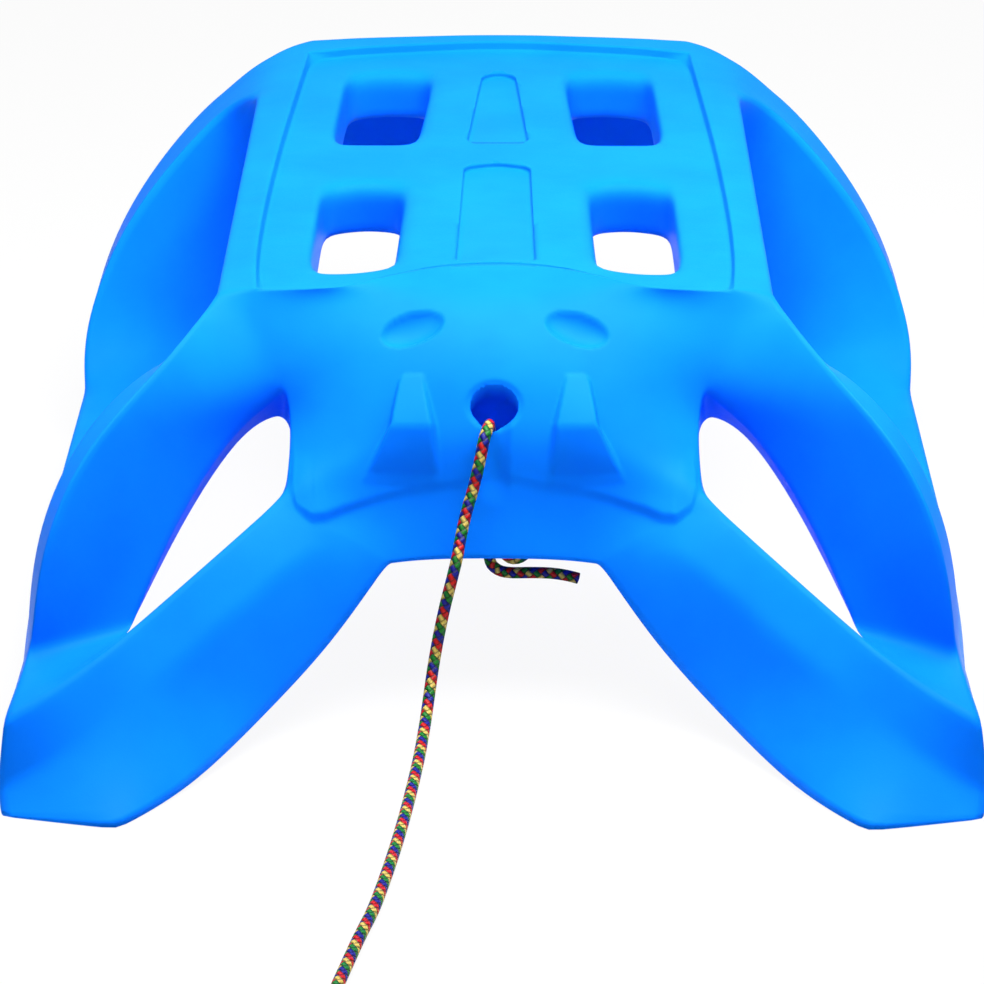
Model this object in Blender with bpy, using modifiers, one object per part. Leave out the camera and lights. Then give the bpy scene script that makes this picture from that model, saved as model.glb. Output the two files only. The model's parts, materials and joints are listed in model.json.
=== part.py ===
# Child's plastic snow sled with a braided tow rope, in metres, +Z up, front towards -Y.
# The hull is one hollow-looking moulding: a slotted deck, a rounded head with a rope hole,
# two front arms over handle windows, two front beams down to the feet, two runners and
# two rear legs joined by a skirt under the deck's rear edge.

import math

import bmesh
import bpy
from mathutils import Euler, Matrix, Vector

# Driving dimensions, in millimetres, with y counted from the front tip of the feet
HALF_LENGTH = 420.0
DECK_TOP = 220.0
DECK_DEPTH = 40.0
PANEL_DROP = 6.0
PANEL_STEP = 2.0
DECK_HALF_WIDTH = 168.0
DECK_REAR = 850.0
DECK_REAR_BOW = 20.0
DECK_REAR_CORNER = 20.0
DECK_FRONT = 287.0
CREST_HALF_WIDTH = 92.0
CREST_BOW = 56.0
PANEL_REAR = 829.0
PANEL_REAR_BOW = 36.0
SLOT_BOW = 14.0
REAR_SLOT = (758.0, 608.0)
FRONT_SLOT = (498.0, 338.0)
SKIRT_FRONT = 812.0
# How far the slots' sides and the panel's step stand from the middle, as (y, x) stops
SLOT_INNER = ((340.0, 64.0), (493.0, 61.0), (615.0, 55.5), (742.0, 48.0))
SLOT_OUTER = ((340.0, 114.0), (489.0, 113.5), (608.0, 111.0), (742.0, 107.5))
PANEL_EDGE = ((290.0, 144.0), (325.0, 148.0), (437.0, 149.0), (585.0, 146.0), (804.0, 137.0))
PANEL_INSET = 22.0
MIDDLE_COLUMN = 26.0
CREST_SETBACK = 3.0
SIDE_ROLL = 3.0
SKIRT_SETBACK = 2.0
RUNNER_TOP = 40.0
SUBDIVISIONS = 1

MM = 0.001


def place(point):
    """Turn a point in millimetres from the front tip into metres about the hull's middle."""
    return Vector((point[0] * MM, (point[1] - HALF_LENGTH) * MM, point[2] * MM))


def blend(start, end, share):
    return tuple(a + (b - a) * share for a, b in zip(start, end))


def along(stops, value):
    """Read a piecewise straight line given as (value, result) stops in rising order."""
    if value <= stops[0][0]:
        return stops[0][1]
    for (low, first), (high, second) in zip(stops, stops[1:]):
        if value <= high:
            return first + (second - first) * (value - low) / (high - low)
    return stops[-1][1]


class Cage:
    """A half hull of named corner points, joined into quads and mirrored later."""

    def __init__(self):
        self.mesh = bmesh.new()
        self.edge_crease = self.mesh.edges.layers.float.new("crease_edge")
        self.corner_crease = self.mesh.verts.layers.float.new("crease_vert")
        self.points = {}
        self.held = []
        self.pinned = []

    def point(self, name, position):
        self.points[name] = self.mesh.verts.new(place(position))

    def quad(self, *names):
        self.mesh.faces.new([self.points[name] for name in names])

    def strip(self, first, second):
        """Join two equally long rows of names with quads."""
        for a, b, c, d in zip(first, first[1:], second[1:], second):
            self.quad(a, b, c, d)

    def ring(self, first, second):
        self.strip(first + first[:1], second + second[:1])

    def hold(self, names, sharpness):
        """Ask for the edges along a row of names to stay crisp when the cage is subdivided."""
        self.held += [(a, b, sharpness) for a, b in zip(names, names[1:])]

    def pin(self, name, sharpness):
        """Ask for one corner point to stay where it is when the cage is subdivided."""
        self.pinned.append((name, sharpness))

    def finish(self, name):
        for a, b, sharpness in self.held:
            edge = self.mesh.edges.get((self.points[a], self.points[b]))
            edge[self.edge_crease] = sharpness
        for corner, sharpness in self.pinned:
            self.points[corner][self.corner_crease] = sharpness
        bmesh.ops.recalc_face_normals(self.mesh, faces=self.mesh.faces)
        mesh = bpy.data.meshes.new(name)
        self.mesh.to_mesh(mesh)
        self.mesh.free()
        return mesh


# The grid of the deck and head: row 0 is the rear edge, the last row the nose's lower edge
SLOT_COLUMNS = (2, 4)
SLOT_MIDDLE = 3
STEP_COLUMN = 6
SIDE = 8
REAR_SLOT_ROWS = (3, 5)
FRONT_SLOT_ROWS = (7, 9)
CREST_ROW = 11
WINDOW_ROWS = (13, 17)
NOSE_ROW = 19
LEG_ROW = 3

# Rows that run straight across, the front slots' front edge by column, and where the rear
# leg's front edge meets the deck's side
CROSS_ROWS = {4: 688.0, 5: REAR_SLOT[1], 6: 553.0, 8: 428.0}
FRONT_EDGE = ((0, 368.0), (1, 362.0), (2, 348.0), (3, 339.0), (4, 342.0), (5, 340.0))
LEG_FRONT = 706.0


def crest_line(x):
    """The y of the head's rear edge, which bows back over the seat panel."""
    share = min(abs(x) / CREST_HALF_WIDTH, 1.0)
    return DECK_FRONT - CREST_SETBACK + CREST_BOW * (1.0 - share * share)


def column_x(column, y):
    inner = along(SLOT_INNER, y)
    outer = along(SLOT_OUTER, y)
    step = along(PANEL_EDGE, y)
    middle = (inner + outer) / 2.0
    stops = (0.0, MIDDLE_COLUMN, inner, middle, outer, step - PANEL_INSET, step - PANEL_STEP, step)
    return (stops + (DECK_HALF_WIDTH,))[column]


def deck_row_y(row, column):
    x = column_x(column, FRONT_SLOT[1])
    share = (x / DECK_HALF_WIDTH) ** 2
    bow = SLOT_BOW if column <= SLOT_MIDDLE else 0.0
    if column == SLOT_MIDDLE - 1:
        bow = SLOT_BOW / 3.0
    if row == 0:
        return DECK_REAR - DECK_REAR_BOW * share - (DECK_REAR_CORNER if column == SIDE else 0.0)
    if row == 1:
        return PANEL_REAR - PANEL_REAR_BOW * share
    if row == 2:
        return PANEL_REAR - PANEL_REAR_BOW * share - PANEL_STEP
    if row == LEG_ROW:
        return along([(STEP_COLUMN, REAR_SLOT[0]), (SIDE, LEG_FRONT)], column) + bow
    if row == FRONT_SLOT_ROWS[0]:
        return FRONT_SLOT[0] + bow
    if row == FRONT_SLOT_ROWS[1]:
        return along(FRONT_EDGE, column)
    if row == 10:
        return crest_line(x) + PANEL_STEP
    if row == CREST_ROW:
        return crest_line(x)
    return CROSS_ROWS[row]


def deck_point(row, column):
    y = deck_row_y(row, column)
    x = column_x(column, y)
    on_panel = 2 <= row <= 10 and column <= STEP_COLUMN
    z = DECK_TOP - PANEL_DROP if on_panel else DECK_TOP
    if column == SIDE:
        z = DECK_TOP - SIDE_ROLL
    return (x, y, z)


# Head rows: the middle of the face and its side, from the crest down to the nose's lower edge
HEAD_MIDDLE = {
    12: (0.0, 294.0, 217.0),
    13: (0.0, 263.0, 205.0),
    14: (0.0, 236.0, 188.0),
    15: (0.0, 220.0, 169.0),
    16: (0.0, 208.0, 150.0),
    17: (0.0, 205.0, 127.5),
    18: (0.0, 198.0, 105.7),
    19: (0.0, 188.0, 83.5),
}
HEAD_SIDE = {
    12: (152.0, 264.0, 198.0),
    13: (125.0, 251.0, 171.0),
    14: (123.0, 244.0, 151.5),
    15: (122.0, 228.0, 141.0),
    16: (123.5, 198.0, 123.0),
    17: (134.0, 178.0, 118.0),
    18: (96.0, 176.0, 106.5),
    19: (64.0, 178.0, 84.0),
}
HEAD_SHARES = (0.0, 0.16, 0.34, 0.5, 0.66, 0.76, 0.86, 0.94, 1.0)
HEAD_ROUNDING = 3.0
# How far the inner face leans back from straight under the outer one, in degrees
HEAD_LEAN = {12: 15.0, 13: 30.0, 14: 42.0, 15: 52.0, 16: 60.0, 17: 66.0, 18: 72.0, 19: 80.0}
HEAD_DEPTH = {12: 34.0, 13: 34.0, 14: 37.0, 15: 42.0, 16: 43.0, 17: 36.0, 18: 30.0, 19: 27.0}


def outer_point(row, column):
    if row <= CREST_ROW:
        return deck_point(row, column)
    middle = HEAD_MIDDLE[row]
    side = HEAD_SIDE[row]
    share = HEAD_SHARES[column]
    fall = share ** HEAD_ROUNDING
    y = middle[1] + (side[1] - middle[1]) * fall
    z = middle[2] + (side[2] - middle[2]) * fall
    return (side[0] * share, y, z)


def inner_point(row, column):
    x, y, z = outer_point(row, column)
    if row <= CREST_ROW:
        return (x, y, DECK_TOP - DECK_DEPTH)
    lean = math.radians(HEAD_LEAN[row])
    depth = HEAD_DEPTH[row]
    return (x, y + depth * math.sin(lean), z - depth * math.cos(lean))


def wall_middle(row, column):
    return blend(outer_point(row, column), inner_point(row, column), 0.5)


def in_slot(row, column):
    between_columns = SLOT_COLUMNS[0] <= column < SLOT_COLUMNS[1]
    between_rows = any(low <= row < high for low, high in (REAR_SLOT_ROWS, FRONT_SLOT_ROWS))
    return between_columns and between_rows


def add_slab(cage):
    """The deck and the head: an outer and an inner grid with walls round every edge."""
    rows = range(NOSE_ROW + 1)
    columns = range(SIDE + 1)
    for row in rows:
        for column in columns:
            cage.point(("o", row, column), outer_point(row, column))
            cage.point(("i", row, column), inner_point(row, column))
        cage.point(("m", row, SIDE), wall_middle(row, SIDE))
    for row in (0, NOSE_ROW):
        for column in range(SIDE):
            cage.point(("m", row, column), wall_middle(row, column))
    for row in range(NOSE_ROW):
        for column in range(SIDE):
            if in_slot(row, column):
                continue
            corners = ((row, column), (row, column + 1), (row + 1, column + 1), (row + 1, column))
            cage.quad(*[("o",) + corner for corner in corners])
            if row > 0:
                cage.quad(*[("i",) + corner for corner in reversed(corners)])
    for row in (0, NOSE_ROW):
        for layer, next_layer in (("o", "m"), ("m", "i")):
            first = [(layer, row, column) for column in columns]
            cage.strip(first, [(next_layer, row, column) for column in columns])
    for start, end in ((LEG_ROW, CREST_ROW), WINDOW_ROWS):
        for layer, next_layer in (("o", "m"), ("m", "i")):
            edge_rows = range(start, end + 1)
            first = [(layer, row, SIDE) for row in edge_rows]
            cage.strip(first, [(next_layer, row, SIDE) for row in edge_rows])


def slot_loop(rows):
    left, right = SLOT_COLUMNS
    middle = left + 1
    low, high = rows
    loop = [(low, left), (low, middle), (low, right), (low + 1, right)]
    return loop + [(high, right), (high, middle), (high, left), (low + 1, left)]


def add_slot_walls(cage):
    for rows in (REAR_SLOT_ROWS, FRONT_SLOT_ROWS):
        loop = slot_loop(rows)
        outer = [("o",) + corner for corner in loop]
        inner = [("i",) + corner for corner in loop]
        cage.ring(outer, inner)
        cage.hold(outer + outer[:1], 0.3)
        cage.hold(inner + inner[:1], 0.5)
        for corner in (0, 2, 4, 6):
            cage.hold([outer[corner], inner[corner]], 0.3)


def add_skirt(cage):
    """A wall hanging from the deck's rear edge, which ties the two rear legs together."""
    columns = range(SIDE + 1)
    for column in columns:
        x = column_x(column, DECK_REAR)
        drop = SKIRT_BOTTOM - SKIRT_ARCH * (x / DECK_HALF_WIDTH) ** 2
        cage.point(("k", 0, column), (x, deck_row_y(0, column) - SKIRT_SETBACK, drop))
        cage.point(("k", 1, column), (x, SKIRT_FRONT, drop))
    rear_top = [("i", 0, column) for column in columns]
    rear_bottom = [("k", 0, column) for column in columns]
    front_top = [("i", 1, column) for column in columns]
    front_bottom = [("k", 1, column) for column in columns]
    cage.strip(rear_top, rear_bottom)
    cage.strip(rear_bottom, front_bottom)
    cage.strip(front_bottom, front_top)
    cage.hold(rear_bottom, 0.6)
    cage.hold(front_bottom, 0.6)


SKIRT_BOTTOM = 138.0
SKIRT_ARCH = 12.0

# Arm sections from the deck corner to the foot: the rim's rear edge, the window's front edge
ARM_RIM = (
    (203.0, 228.0, 195.5), (243.5, 173.0, 168.5), (264.0, 131.0, 126.0), (269.0, 118.0, 81.5),
    (270.0, 116.0, 60.5),
)
ARM_WINDOW = (
    (135.4, 252.0, 157.5), (156.3, 242.0, 144.0), (184.0, 200.0, 112.5), (202.7, 162.0, 79.5),
    (213.4, 142.0, 55.5),
)
ARM_WINDOW_BACK = (
    (-2.0, 18.0, -14.0), (-2.0, 24.0, -11.0), (-2.0, 24.0, -11.0), (0.0, 24.0, -10.0),
    (2.0, 18.0, -6.0),
)
ARM_RIM_FRONT = (
    (-6.0, -24.0, 0.5), (-8.0, -22.0, 1.0), (-7.0, -20.0, 3.0), (-5.0, -18.0, 2.0), (-4.0, -18.0, 2.0),
)

# Beam sections from the nose to the foot's outer end: top edge, crease and lower edge
BEAM_TOP = (
    (167.0, 136.0, 101.8), (203.5, 98.0, 81.0), (220.5, 78.0, 73.5), (248.0, 54.0, 59.5),
    (276.0, 36.0, 48.0),
)
BEAM_CREASE = (
    (138.0, 136.0, 84.2), (179.0, 98.0, 58.5), (207.0, 72.0, 45.0), (238.5, 42.0, 26.0),
    (280.0, 30.0, 8.0),
)
BEAM_LOWER = (
    (93.5, 152.0, 44.0), (135.5, 112.0, 12.0), (171.5, 44.0, 0.0), (208.0, -7.0, 0.0),
    (277.0, 11.0, 0.0),
)
BEAM_TOP_BACK = (
    (174.0, 180.0, 76.0), (212.0, 146.0, 54.0), (222.0, 152.0, 40.0), (250.0, 154.0, 40.0),
    (276.0, 154.0, 38.0),
)
BEAM_MIDDLE_BACK = (
    (150.0, 178.0, 58.0), (190.0, 138.0, 32.0), (222.0, 148.0, 20.0), (250.0, 154.0, 20.0),
    (279.0, 154.0, 20.0),
)
BEAM_LOWER_BACK = (
    (111.0, 184.0, 46.0), (151.0, 142.0, 16.0), (207.0, 120.0, 0.0), (250.0, 142.0, 0.0),
    (279.0, 144.0, 0.0),
)
FOOT_CORNER = ("beam", 3, 2)
WINDOW_CORNER = ("o", WINDOW_ROWS[1] - 1, SIDE)
FOOT_CAP = (280.0, 84.0, 20.0)

# Rear leg sections, from the deck down: rear outer, front outer, front inner and rear inner corner
LEG_SECTIONS = (
    ((193.0, 806.0, 198.0), (192.0, 738.0, 200.0), (168.0, 742.0, 112.0), (168.0, 834.0, 108.0)),
    ((234.0, 757.0, 166.0), (230.0, 706.0, 167.0), (174.0, 722.0, 66.0), (178.0, 782.0, 66.0)),
    ((269.0, 700.0, 124.0), (267.0, 664.0, 125.0), (192.0, 694.0, 44.0), (198.0, 740.0, 44.0)),
    ((288.0, 676.0, 66.0), (289.0, 630.0, 67.0), (214.0, 640.0, 42.0), (216.0, 700.0, 42.0)),
)
LEG_OUTER_SHARES = (0.0, 0.15, 0.4, 0.6, 1.0)
LEG_INNER_SHARES = (0.0, 0.25, 0.5, 0.75, 1.0)

RUNNER_OUTER = 287.0
RUNNER_DRAFT = 3.0
RUNNER_INNER = 228.0
RUNNER_STATIONS = (230.0, 330.0, 430.0, 520.0, 588.0, 610.0, 632.0, 654.0, 678.0, 735.0, 790.0)
LEG_STATIONS = (4, 8)
RUNNER_TAIL_RISE = 12.0
RUNNER_TAIL_FALL = 6.0
RUNNER_TAIL_TAPER = 0.3
RUNNER_TAIL_CAP = 4.0


def shifted(point, offset):
    return tuple(a + b for a, b in zip(point, offset))


def arm_ring(station):
    return [("arm", station, spot) for spot in range(8)]


def add_arm(cage):
    """The arch over the handle window, from the deck's front corner down to the foot."""
    start, middle, end = CREST_ROW, CREST_ROW + 1, WINDOW_ROWS[0]
    port = [("o", start, SIDE), ("o", middle, SIDE), ("o", end, SIDE), ("m", end, SIDE)]
    port += [("i", end, SIDE), ("i", middle, SIDE), ("i", start, SIDE), ("m", start, SIDE)]
    rings = [port]
    for station, rim_back in enumerate(ARM_RIM):
        rim = shifted(rim_back, ARM_RIM_FRONT[station])
        window = ARM_WINDOW[station]
        window_back = shifted(window, ARM_WINDOW_BACK[station])
        spots = (rim, blend(rim, window, 0.5), window, blend(window, window_back, 0.5))
        spots += (window_back, blend(window_back, rim_back, 0.5), rim_back, blend(rim_back, rim, 0.5))
        ring = arm_ring(station)
        for name, spot in zip(ring, spots):
            cage.point(name, spot)
        rings.append(ring)
    last = len(BEAM_TOP) - 1
    foot = [("beam", last, 0), ("beam", last - 1, 0), ("beam", last - 2, 0), ("beam", last - 2, 7)]
    foot += [("beam", last - 2, 6), ("beam", last - 1, 6), ("beam", last, 6), ("beam", last, 7)]
    rings.append(foot)
    for first, second in zip(rings, rings[1:]):
        cage.ring(first, second)
    for spot, sharpness in ((0, 0.5), (2, 0.6), (4, 0.5), (6, 0.7)):
        cage.hold([ring[spot] for ring in rings], sharpness)
    cage.hold(rings[-2][:3], 0.4)


def add_beam(cage):
    """The front beam, from the nose down and out to the foot."""
    start, middle, end = WINDOW_ROWS[1], WINDOW_ROWS[1] + 1, NOSE_ROW
    port = [("o", start, SIDE), ("o", middle, SIDE), ("o", end, SIDE), ("m", end, SIDE)]
    port += [("i", end, SIDE), ("i", middle, SIDE), ("i", start, SIDE), ("m", start, SIDE)]
    rings = [port]
    chains = (BEAM_TOP, BEAM_CREASE, BEAM_LOWER, BEAM_LOWER_BACK, BEAM_MIDDLE_BACK, BEAM_TOP_BACK)
    for station, corners in enumerate(zip(*chains)):
        top, crease, lower, lower_back, middle_back, top_back = corners
        spots = (top, crease, lower, blend(lower, lower_back, 0.5))
        spots += (lower_back, middle_back, top_back, blend(top_back, top, 0.5))
        ring = [("beam", station, spot) for spot in range(8)]
        for name, spot in zip(ring, spots):
            cage.point(name, spot)
        rings.append(ring)
    for number, (first, second) in enumerate(zip(rings, rings[1:])):
        in_foot = number >= len(rings) - 3
        for spot in range(8):
            following = (spot + 1) % 8
            if in_foot and spot in (4, 5, 6, 7):
                continue
            cage.quad(first[spot], first[following], second[following], second[spot])
    last = rings[-1]
    cage.point("foot cap", FOOT_CAP)
    for spot in range(0, 8, 2):
        cage.quad(last[spot], last[(spot + 1) % 8], "foot cap", last[spot - 1])
    for spot, sharpness in ((0, 0.85), (1, 0.3), (2, 0.7), (4, 0.6), (6, 0.5)):
        cage.hold([ring[spot] for ring in rings], sharpness)
    cage.pin(FOOT_CORNER, 0.75)
    cage.pin(WINDOW_CORNER, 0.7)
    cage.hold([last[0], last[1], last[2], last[3], last[4]], 0.6)


def runner_spots(y):
    """A runner's section at one y: corners and mid-sides, from the outer top edge inward."""
    tail = along([(RUNNER_STATIONS[-2], 0.0), (RUNNER_STATIONS[-1], 1.0)], y)
    rise = RUNNER_TAIL_RISE * tail
    middle = (RUNNER_OUTER + RUNNER_INNER) / 2.0
    half = RUNNER_TOP / 2.0
    shoulder = RUNNER_OUTER - RUNNER_DRAFT
    outside = RUNNER_OUTER - RUNNER_DRAFT / 2.0
    across = (shoulder, middle, RUNNER_INNER, RUNNER_INNER, RUNNER_INNER, middle, RUNNER_OUTER, outside)
    top = RUNNER_TOP - RUNNER_TAIL_FALL * tail
    half += (rise - RUNNER_TAIL_FALL * tail) / 2.0
    heights = (top, top, top, half, rise, rise, rise, half)
    across = [middle + (x - middle) * (1.0 - RUNNER_TAIL_TAPER * tail) for x in across]
    return [(x, y, z) for x, z in zip(across, heights)]


def add_runner(cage):
    """The ground rail from the foot to the tail, left open on top where the rear leg stands."""
    port = [("beam", 4, 6), ("beam", 3, 6), ("beam", 2, 6), ("beam", 2, 5)]
    port += [("beam", 2, 4), ("beam", 3, 4), ("beam", 4, 4), ("beam", 4, 5)]
    rings = [port]
    for station, y in enumerate(RUNNER_STATIONS):
        ring = [("runner", station, spot) for spot in range(8)]
        for name, spot in zip(ring, runner_spots(y)):
            cage.point(name, spot)
        rings.append(ring)
    low, high = LEG_STATIONS
    for number, (first, second) in enumerate(zip(rings, rings[1:])):
        under_leg = low < number <= high
        for spot in range(8):
            if under_leg and spot in (0, 1):
                continue
            following = (spot + 1) % 8
            cage.quad(first[spot], first[following], second[following], second[spot])
    last = rings[-1]
    tail_height = (RUNNER_TOP + RUNNER_TAIL_RISE - RUNNER_TAIL_FALL) / 2.0
    tail_middle = (RUNNER_OUTER + RUNNER_INNER) / 2.0
    cage.point("tail cap", (tail_middle, RUNNER_STATIONS[-1] + RUNNER_TAIL_CAP, tail_height))
    for spot in range(0, 8, 2):
        cage.quad(last[spot], last[(spot + 1) % 8], "tail cap", last[spot - 1])
    for spot in (0, 2, 4, 6):
        cage.hold([ring[spot] for ring in rings[1:]], 0.6)
    cage.hold(last + last[:1], 0.3)


def add_leg(cage):
    """The rear leg, a plate that sweeps from the deck's rear corner forward to the runner."""
    port = [("m", 0, SIDE)] + [("o", row, SIDE) for row in range(LEG_ROW + 1)]
    port += [("m", LEG_ROW, SIDE), ("i", LEG_ROW, SIDE), ("i", 2, SIDE), ("i", 1, SIDE)]
    port += [("k", 1, SIDE), ("k", 0, SIDE), ("i", 0, SIDE)]
    rings = [port]
    for station, (rear_outer, front_outer, front_inner, rear_inner) in enumerate(LEG_SECTIONS):
        spots = [blend(rear_outer, front_outer, share) for share in LEG_OUTER_SHARES]
        spots += [blend(front_outer, front_inner, 0.5)]
        spots += [blend(front_inner, rear_inner, share) for share in LEG_INNER_SHARES]
        spots += [blend(rear_inner, rear_outer, 0.5)]
        ring = [("leg", station, spot) for spot in range(12)]
        for name, spot in zip(ring, spots):
            cage.point(name, spot)
        rings.append(ring)
    low, high = LEG_STATIONS
    seat = [("runner", station, 0) for station in range(high, low - 1, -1)]
    seat += [("runner", low, 1)]
    seat += [("runner", station, 2) for station in range(low, high + 1)]
    seat += [("runner", high, 1)]
    rings.append(seat)
    for first, second in zip(rings, rings[1:]):
        cage.ring(first, second)
    for spot, sharpness in ((0, 0.6), (4, 0.7), (6, 0.6), (10, 0.6)):
        cage.hold([ring[spot] for ring in rings], sharpness)


def hold_edges(cage):
    """Crisp lines of the deck and head: panel step, outer edges, window side and nose."""
    step_rows = (1, 2, 10, CREST_ROW)
    for row in step_rows:
        last = STEP_COLUMN + (1 if row in (1, CREST_ROW) else 0)
        cage.hold([("o", row, column) for column in range(last + 1)], 0.6)
    cage.hold([("o", row, STEP_COLUMN) for row in range(2, 11)], 0.6)
    cage.hold([("o", row, STEP_COLUMN + 1) for row in range(1, CREST_ROW + 1)], 0.6)
    for layer, sharpness in (("o", 0.5), ("i", 0.6)):
        cage.hold([(layer, row, SIDE) for row in range(LEG_ROW, CREST_ROW + 1)], sharpness)
        cage.hold([(layer, 0, column) for column in range(SIDE + 1)], sharpness)
        cage.hold([(layer, row, SIDE) for row in range(WINDOW_ROWS[0], WINDOW_ROWS[1] + 1)], sharpness)
        cage.hold([(layer, NOSE_ROW, column) for column in range(SIDE + 1)], sharpness)


# Details of the head and the deck, cut into the cage's solid or added to it
HOLE_CENTRE = (0.0, 220.7, 169.0)
HOLE_RADIUS = 13.0
HOLE_LIP_RADIUS = 16.5
HOLE_LIP_DEPTH = 7.0
HOLE_REACH = 25.0
HOLE_LENGTH = 68.0
HOLE_SIDES = 32
FACE_SLOPE = 37.0
HOLE_SLOPE = 66.0
GROOVE_RADIUS = 13.0
GROOVE_DEPTH = 4.5
GROOVE_LENGTH = 52.0
GROOVE_START = 6.0
EYE_CENTRE = (50.5, 266.5, 205.5)
EYE_RADII = (21.0, 11.5, 7.0)
EYE_TURN = 23.0
EYE_SLOPE = 58.0
RIDGE_TOP = 184.0
RIDGE_ROUNDING = 2.5
BADGE_DEPTH = 2.5
BADGE_CORNER = 7.0
REAR_BADGE = ((12.0, 762.0), (21.0, 602.0))
FRONT_BADGE = ((22.0, 548.0), (25.0, 352.0))


def solid(name, mesh, collection):
    result = bpy.data.objects.new(name, mesh)
    collection.objects.link(result)
    result.hide_render = True
    result.display_type = "WIRE"
    return result


def mesh_from(shape, name):
    mesh = bpy.data.meshes.new(name)
    bmesh.ops.recalc_face_normals(shape, faces=shape.faces)
    shape.to_mesh(mesh)
    shape.free()
    return mesh


def turned_solid(name, profile, start, direction, collection):
    """A round cutter turned from (radius, distance) stops, set along a direction from start."""
    shape = bmesh.new()
    corners = [shape.verts.new((radius * MM, 0.0, distance * MM)) for radius, distance in profile]
    edges = [shape.edges.new(pair) for pair in zip(corners, corners[1:])]
    axis = (0.0, 0.0, 1.0)
    bmesh.ops.spin(shape, geom=corners + edges, axis=axis, angle=2.0 * math.pi, steps=HOLE_SIDES)
    bmesh.ops.remove_doubles(shape, verts=shape.verts, dist=0.01 * MM)
    turn = direction.to_track_quat("Z", "Y").to_matrix().to_4x4()
    bmesh.ops.transform(shape, matrix=Matrix.Translation(place(start)) @ turn, verts=shape.verts)
    return solid(name, mesh_from(shape, name), collection)


def bulb_solid(name, centre, radii, turns, collection):
    """A stretched ball: radii along its own axes, then turned about X, Y and Z in degrees."""
    shape = bmesh.new()
    bmesh.ops.create_uvsphere(shape, u_segments=24, v_segments=12, radius=1.0)
    turn = Euler([math.radians(angle) for angle in turns]).to_matrix().to_4x4()
    scale = Matrix.Diagonal((radii[0] * MM, radii[1] * MM, radii[2] * MM, 1.0))
    matrix = Matrix.Translation(place(centre)) @ turn @ scale
    bmesh.ops.transform(shape, matrix=matrix, verts=shape.verts)
    return solid(name, mesh_from(shape, name), collection)


def badge_solid(name, corners, collection):
    """A shallow four-sided recess with rounded corners in the middle of the seat panel."""
    (narrow, rear), (wide, front) = corners
    low = DECK_TOP - PANEL_DROP - BADGE_DEPTH
    shape = bmesh.new()
    outline = [(-narrow, rear), (narrow, rear), (wide, front), (-wide, front)]
    face = shape.faces.new([shape.verts.new(place((x, y, low))) for x, y in outline])
    rise = bmesh.ops.extrude_face_region(shape, geom=[face])
    top = [item for item in rise["geom"] if isinstance(item, bmesh.types.BMVert)]
    bmesh.ops.translate(shape, verts=top, vec=(0.0, 0.0, (PANEL_DROP + BADGE_DEPTH) * MM))
    upright = [edge for edge in shape.edges if abs(edge.verts[0].co.z - edge.verts[1].co.z) > MM]
    corner = BADGE_CORNER * MM
    bmesh.ops.bevel(shape, geom=upright, offset=corner, segments=3, affect="EDGES", profile=0.5)
    return solid(name, mesh_from(shape, name), collection)


def ridge_solid(name, side, collection):
    """A buttress beside the rope hole: a lit upper facet over a lower facet that flares out."""
    spots = (
        (-44.0, 240.0, RIDGE_TOP), (-57.0, 240.0, RIDGE_TOP), (-40.0, 202.0, 157.0), (-64.0, 202.0, 156.0),
        (-38.0, 193.0, 126.0), (-76.0, 193.0, 132.0), (-46.0, 262.0, 170.0), (-56.0, 262.0, 170.0),
        (-44.0, 222.0, 124.0), (-68.0, 222.0, 124.0),
    )
    shape = bmesh.new()
    for x, y, z in spots:
        shape.verts.new(place((x * side, y, z)))
    bmesh.ops.convex_hull(shape, input=shape.verts)
    bmesh.ops.dissolve_limit(shape, angle_limit=math.radians(4.0), verts=shape.verts, edges=shape.edges)
    rounding = RIDGE_ROUNDING * MM
    bmesh.ops.bevel(shape, geom=shape.edges, offset=rounding, segments=2, affect="EDGES", profile=0.5)
    return solid(name, mesh_from(shape, name), collection)


def combine(target, tool, operation):
    step = target.modifiers.new(tool.name, "BOOLEAN")
    step.operation = operation
    step.object = tool


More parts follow.
